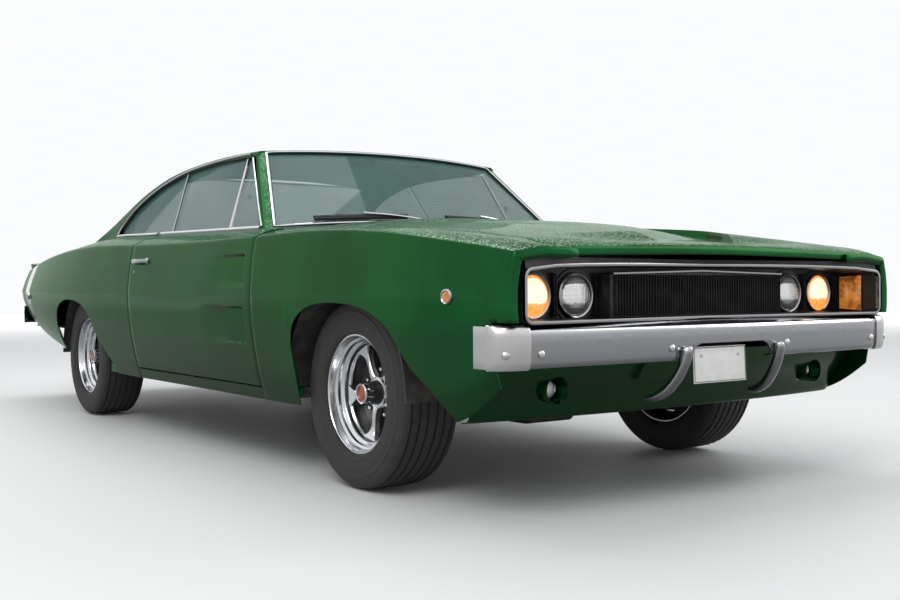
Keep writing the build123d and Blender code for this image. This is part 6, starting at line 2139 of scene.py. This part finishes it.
@dataclass
class Cabin:
    """Seats, dashboard, steering wheel, floor covering, mirror and firewall lining."""

    seat_x: float = 388.0
    floor_z: float = 312.0

    def build(self) -> None:
        """Build and dress everything inside."""
        self.front_seats()
        self.rear_seat()
        self.dashboard()
        self.steering()
        self.carpet()
        self.mirror()

    def cushion(self, name: str, section: Outline, x: float, half: float, round_off: float,
                seams: int) -> Any:
        """A padded form: a side outline drawn out across the car, rounded, with pressed seams.

        Args:
            name: the piece's name.
            section: side outline, places along the car and heights.
            x: its middle across the car.
            half: half its width.
            round_off: rounding of its edges.
            seams: number of pleats across it.

        Returns:
            The form.
        """
        outline = smooth_path([*section, section[0]], 5, 3)[:-1]
        centre = outline.mean(axis=0)
        ends = [(-half, 0.90), (-half * 0.965, 0.955), (-half * 0.90, 0.99)]
        pleats = np.linspace(-half * 0.72, half * 0.72, seams * 4 + 1)
        middle = [(float(p), 1.0 - (0.012 if k % 4 == 0 else 0.0)) for k, p in enumerate(pleats)]
        ends.append((-half * 0.80, 1.0))
        rows = ends + middle + [(-a, b) for a, b in reversed(ends)]

        rings = []
        for across, grow in rows:
            places = centre + (outline - centre) * (1 - (1 - grow) * round_off)
            rings.append([(x + across, y, z) for y, z in places])
        return Shop.tube(name, rings)

    def pad(self, obj: Any, puff: float = 0.009) -> Any:
        """Blow a cushion up a little and let its cover settle.

        Args:
            obj: the cushion.
            puff: furthest that its cover may move, in metres.

        Returns:
            The cushion.
        """
        before = [v.co.copy() for v in obj.data.vertices]
        Shop.take(obj)
        bpy.ops.object.modifier_add(type="CLOTH")
        cloth = obj.modifiers[-1]
        cloth.settings.use_pressure = True
        cloth.settings.uniform_pressure_force = 4
        cloth.settings.effector_weights.gravity = 0
        cloth.point_cache.frame_start = 1
        cloth.point_cache.frame_end = 12
        for frame in range(1, 13):
            bpy.context.scene.frame_set(frame)
        bpy.ops.object.modifier_apply(modifier=cloth.name)
        for vertex, start in zip(obj.data.vertices, before):
            moved = vertex.co - start
            if moved.length > puff:
                vertex.co = start + moved.normalized() * puff
        bpy.context.scene.frame_set(1)
        return Shop.modify(obj, "SUBSURF", levels=1, render_levels=1)

    def cover(self, cushion: Any, name: str, replaces: Sequence[str] = ()) -> None:
        """Pad a cushion, name it and dress it in vinyl."""
        self.pad(cushion)
        cushion.name = cushion.data.name = name
        Shop.dress(cushion, "seat_vinyl", replaces=replaces)

    def front_seats(self) -> None:
        """Two bucket seats with high-backed pleated cushions."""
        for side_name, side in SIDES.items():
            x = side * self.seat_x
            base = self.cushion("base", [(-425, 345), (-438, 400), (-425, 462), (-390, 478), (-200, 462),
                                         (0, 440), (30, 425), (30, 350)], x, 216, 0.6, 5)
            back = self.cushion("back", [(-18, 440), (10, 640), (38, 850), (62, 985), (90, 1004), (128, 990),
                                         (136, 900), (100, 640), (62, 430), (10, 420)], x, 212, 0.8, 5)
            self.cover(base, f"front_seat_base_{side_name}", ["front_seats"])
            self.cover(back, f"front_seat_back_{side_name}")
            rails = [Shop.box("rail", (x + dx - 14, -380, self.floor_z), (x + dx + 14, 0, self.floor_z + 34),
                              4, 2) for dx in (-160, 160)]
            shell = Shop.box("shell", (x - 190, -400, 346), (x + 190, 20, 362), 8)
            Shop.dress(Shop.join(f"seat_rails_{side_name}", *rails, shell), "cabin_plastic")

    def rear_seat(self) -> None:
        """Rear bench and its back."""
        base = self.cushion("rear_base", [(340, 330), (322, 420), (335, 490), (380, 506), (560, 492),
                                          (640, 478), (700, 460), (700, 340)], 0, 530, 0.5, 8)
        back = self.cushion("rear_back", [(620, 480), (660, 620), (720, 810), (752, 868), (790, 880),
                                          (830, 866), (800, 700), (740, 500), (690, 462)], 0, 530, 0.7, 8)
        self.cover(base, "rear_seat_base", ["rear_seat"])
        self.cover(back, "rear_seat_back")
        shelf = Shop.skin("parcel_shelf", range(13), spread([828, 1470], 60),
                          lambda k, y: (-640 + 1280 * k / 12, y, 872 + 24 * (y - 828) / 642), (0, 1100, 0), 6)
        Shop.dress(shelf, "cabin_plastic")

    def dashboard(self) -> None:
        """Padded dashboard with a recessed instrument panel and round dials."""
        section = [(-1000, 905), (-880, 918), (-790, 916), (-762, 900), (-756, 870), (-774, 846), (-776, 740),
                   (-770, 712), (-800, 690), (-850, 690), (-1000, 800)]
        line = smooth_path([*section, section[0]], 4, 2)[:-1]
        widths = [-724, -716, -690, *spread([-600, 600], 80), 690, 716, 724]
        pad = Shop.tube("dash_pad", [[(x, y, z - (6 if abs(x) == 724 else 0)) for y, z in line]
                                     for x in widths])
        Shop.dress(pad, "cabin_plastic", replaces=["dashboard"])
        dials, rims = [], []
        for x, r in ((270, 34), (355, 52), (465, 52), (548, 34), (180, 26), (610, 26)):
            dial = [(-1, 0.01), (-1, r), (4, r), (4, 0.01)]
            rim = [(-1, r), (-1, r + 5), (5, r + 5), (7, r + 2), (5, r)]
            dials.append(Shop.spin("dial", dial, (x, -776, 800), REARWARDS, 32))
            rims.append(Shop.spin("rim", rim, (x, -776, 800), REARWARDS, 32))
        knob = [(0, 0.01), (0, 9), (12, 10), (16, 7), (16, 0.01)]
        rims += [Shop.spin("knob", knob, (x, -772, 760), REARWARDS, 20) for x in (-60, 0, 60, 120)]
        Shop.dress(Shop.join("dash_dials", *dials), "bezel_black")
        Shop.dress(Shop.join("dash_rims", *rims), "bright_trim")
        Shop.dress(Shop.box("glove_lid", (-560, -779, 752), (-230, -769, 832), 4), "cabin_plastic")

    def steering(self) -> None:
        """Thin-rimmed steering wheel with three drilled spokes, boss and column."""
        centre = np.array([370.0, -600.0, 845.0])
        rise = math.radians(24)
        axis = np.array([0.0, math.cos(rise), math.sin(rise)])
        up = np.array([0.0, -math.sin(rise), math.cos(rise)])
        grip, radius = 12.5, 195
        ring = [(grip * math.cos(a), radius + grip * math.sin(a)) for a in np.linspace(0, math.tau, 17)[:-1]]
        Shop.dress(Shop.spin("rim", ring, centre, axis, 72), "cabin_plastic", replaces=["steering_wheel"])
        boss = [(-40, 20), (-40, 34), (-10, 44), (4, 42), (10, 30), (12, 0.01), (-40, 0.01)]
        pieces = [Shop.spin("boss", boss, centre, axis, 40)]
        for turn in (math.radians(a) for a in (90, 210, 330)):
            way = ACROSS * math.cos(turn) + up * math.sin(turn)
            turned = ACROSS * -math.sin(turn) + up * math.cos(turn)
            pieces.append(Shop.tube("spoke", [
                [centre + way * r + turned * half * a + axis * (b - 6 + 6 * r / 190)
                 for a, b in ((-1, -2), (1, -2), (1, 2), (-1, 2))]
                for r, half in ((30, 17), (80, 13), (140, 12), (190, 16))]))
        Shop.dress(Shop.join("steering_spokes", *pieces), "bright_trim")
        column = [(-250, 0.01), (-250, 40), (-120, 38), (-60, 34), (-38, 28), (-38, 0.01)]
        Shop.dress(Shop.spin("steering_column", column, centre, axis, 32), "cabin_plastic")

    def carpet(self) -> None:
        """Carpet over the floor and tunnel, and the toe board lining."""
        profile = [(-724, 316), (-170, 316), (-150, 330), (-112, 458), (-90, 474), (90, 474), (112, 458),
                   (150, 330), (170, 316), (724, 316)]
        sheet = Shop.skin("carpet", smooth_path(profile, 5, 2), spread([-990, 750], 60),
                          lambda spot, y: (spot[0], y, spot[1] + 150 * max(0.0, (-900 - y) / 90) ** 1.2),
                          (0, 0, -2000), 3)
        Shop.dress(sheet, "headliner")

    def mirror(self) -> None:
        """Inside mirror on the windshield's header."""
        head = Shop.box("head", (-105, -465, 1242), (105, -447, 1294), 8)
        stem = Shop.weld(Shop.rod("stem", (0, -455, 1276), (0, -432, 1322), 6), fill=False)
        Shop.dress(Shop.join("inside_mirror", head, stem), "bezel_black")


@dataclass
class Underbody:
    """The CAD nodes that are carried over as they are, with extra parts beneath."""

    finishes: tuple[tuple[str, str], ...] = (
        ("floor_pan", "underbody"),
        ("front_frame", "underbody"),
        ("wheelhouses", "underbody"),
        ("knuckle_right", "cast_parts"),
        ("knuckle_left", "cast_parts"),
        ("rear_axle", "cast_parts"),
        ("engine_block", "cast_parts"),
        ("exhaust", "exhaust_steel"),
        ("fuel_tank", "exhaust_steel"),
        ("rear_window", "window_glass"),
    )

    def build(self) -> None:
        """Dress the nodes and add dampers, torsion bars and covers."""
        for node, finish in self.finishes:
            mesh = frame["nodes"][node].data
            mesh.materials.clear()
            mesh.materials.append(PALETTE[finish])
        self.dampers()
        self.cover()

    def dampers(self) -> None:
        """Rear dampers and front torsion bars."""
        tubes = []
        for side in SIDES.values():
            for low, high, radius in (((430, REAR_AXLE_Y + 70, 300), (400, REAR_AXLE_Y + 190, 468), 24),
                                      ((470, FRONT_AXLE_Y + 30, 262), (400, -760, 290), 14)):
                ends = [(side * x, y, z) for x, y, z in (low, high)]
                tubes.append(Shop.weld(Shop.rod("tube", *ends, radius), fill=False))
        Shop.dress(Shop.join("dampers", *tubes), "cast_parts")

    def cover(self) -> None:
        """Ribbed differential cover and engine oil pan."""
        bowl = [(0, 0.01), (0, 112), (14, 112), (22, 100), (44, 84), (60, 50), (64, 0.01)]
        cover = Shop.spin("differential_cover", bowl, (0, REAR_AXLE_Y + 108, 332), REARWARDS, 40)
        pan = Shop.box("oil_pan", (-130, FRONT_AXLE_Y - 40, 172), (130, FRONT_AXLE_Y + 400, 236), 22, 4)
        Shop.dress(Shop.join("pans", cover, pan), "cast_parts")


PARTS: list[Any] = [BodySides(), HOOD, GREENHOUSE, Tail(), Grille(), Headlamps(), Bumpers(), Valance(),
                    Wheels(), Glass(), Wipers(), Cabin(), Underbody()]


@dataclass
class Studio:
    """Pale floor, soft lamps and the camera at the photograph's viewing angle."""

    camera_place: Point = (-2809.8, -5002.6, 694.8)
    yaw: float = 35.509
    pitch: float = -0.567
    roll: float = -0.388
    focal_mm: float = 44.01

    def build(self) -> None:
        """Lay the floor, hang the lamps and set the camera."""
        self.floor()
        self.world()
        self.lamps()
        self.camera()

    def floor(self) -> None:
        """A large pale floor at the tyres' feet."""
        Shop.take()
        bpy.ops.mesh.primitive_plane_add(size=60, location=(0, 0, -0.002))
        floor = Shop.settle(Shop.named("studio_floor"))
        s = Shader("studio_floor")
        x, y, _ = s.axes(s.place())
        far = (x * x + y * y).ramp(30.0, 420.0)
        s.set(Base_Color=(0.74, 0.74, 0.73), Roughness=0.55, Emission_Strength=1.0,
              Emission_Color=s.blend(far, (0.0, 0.0, 0.0), (0.62, 0.62, 0.63)))
        floor.data.materials.append(s.material)

    def world(self) -> None:
        """Pale surroundings: white where the camera, metal or glass sees them."""
        world = bpy.data.worlds.new("studio")
        bpy.context.scene.world = world
        world.use_nodes = True
        nodes = Nodes(world.node_tree)
        seen, through, mirrored = (nodes.node("ShaderNodeLightPath", {}, {}, f"Is {kind} Ray")
                                   for kind in ("Camera", "Transmission", "Glossy"))
        largest = {"operation": "MAXIMUM"}
        direct = nodes.node("ShaderNodeMath", largest, {0: seen, 1: through})
        share = nodes.node("ShaderNodeMath", largest, {0: direct, 1: mirrored})
        light, back = (nodes.node("ShaderNodeBackground", {}, {"Color": colour, "Strength": strength})
                       for colour, strength in (((0.92, 0.95, 1.0), 0.62), ((0.96, 0.97, 0.98), 1.0)))
        mix = nodes.node("ShaderNodeMixShader", {}, {0: share, 1: light, 2: back})
        nodes.node("ShaderNodeOutputWorld", {}, {"Surface": mix})

    def lamps(self) -> None:
        """Three large soft lamps."""
        for name, place, size, energy in (
            ("key_lamp", (-6.5, -6.0, 7.5), 5.0, 430),
            ("fill_lamp", (7.5, -5.0, 5.0), 5.0, 170),
            ("top_lamp", (0.0, 2.5, 8.5), 7.0, 330),
        ):
            bpy.ops.object.light_add(type="AREA", location=place)
            lamp = bpy.context.object
            lamp.name = name
            lamp.data.size = size
            lamp.data.energy = energy
            aim = Vector((0, 0, 0.5)) - Vector(place)
            lamp.rotation_euler = aim.to_track_quat("-Z", "Y").to_euler()

    def camera(self) -> None:
        """The camera that the photograph was solved for."""
        yaw, pitch, roll = (math.radians(a) for a in (self.yaw, self.pitch, self.roll))
        forward = Vector((math.sin(yaw) * math.cos(pitch), math.cos(yaw) * math.cos(pitch), math.sin(pitch)))
        right = Vector((math.cos(yaw), -math.sin(yaw), 0))
        up = right.cross(forward)
        side = right * math.cos(roll) + up * math.sin(roll)
        top = up * math.cos(roll) - right * math.sin(roll)
        data = bpy.data.cameras.new("photo_camera")
        data.lens = self.focal_mm
        data.sensor_width = 36
        data.clip_end = 100
        camera = bpy.data.objects.new("photo_camera", data)
        bpy.context.scene.collection.objects.link(camera)
        turn = Matrix((side, top, -forward)).transposed()
        camera.matrix_world = Matrix.Translation(Vector(self.camera_place) * MM) @ turn.to_4x4()
        bpy.context.scene.camera = camera


def main() -> None:
    """Build every sub-assembly, dress the carried-over CAD nodes and set the stage."""
    logging.basicConfig(level=logging.INFO, format="%(name)s: %(message)s")
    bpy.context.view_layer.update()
    for part in PARTS:
        log.info("building %s", type(part).__name__)
        part.build()
    Studio().build()
    bpy.context.scene.view_settings.view_transform = "Standard"
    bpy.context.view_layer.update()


if __name__ == "__main__":
    main()
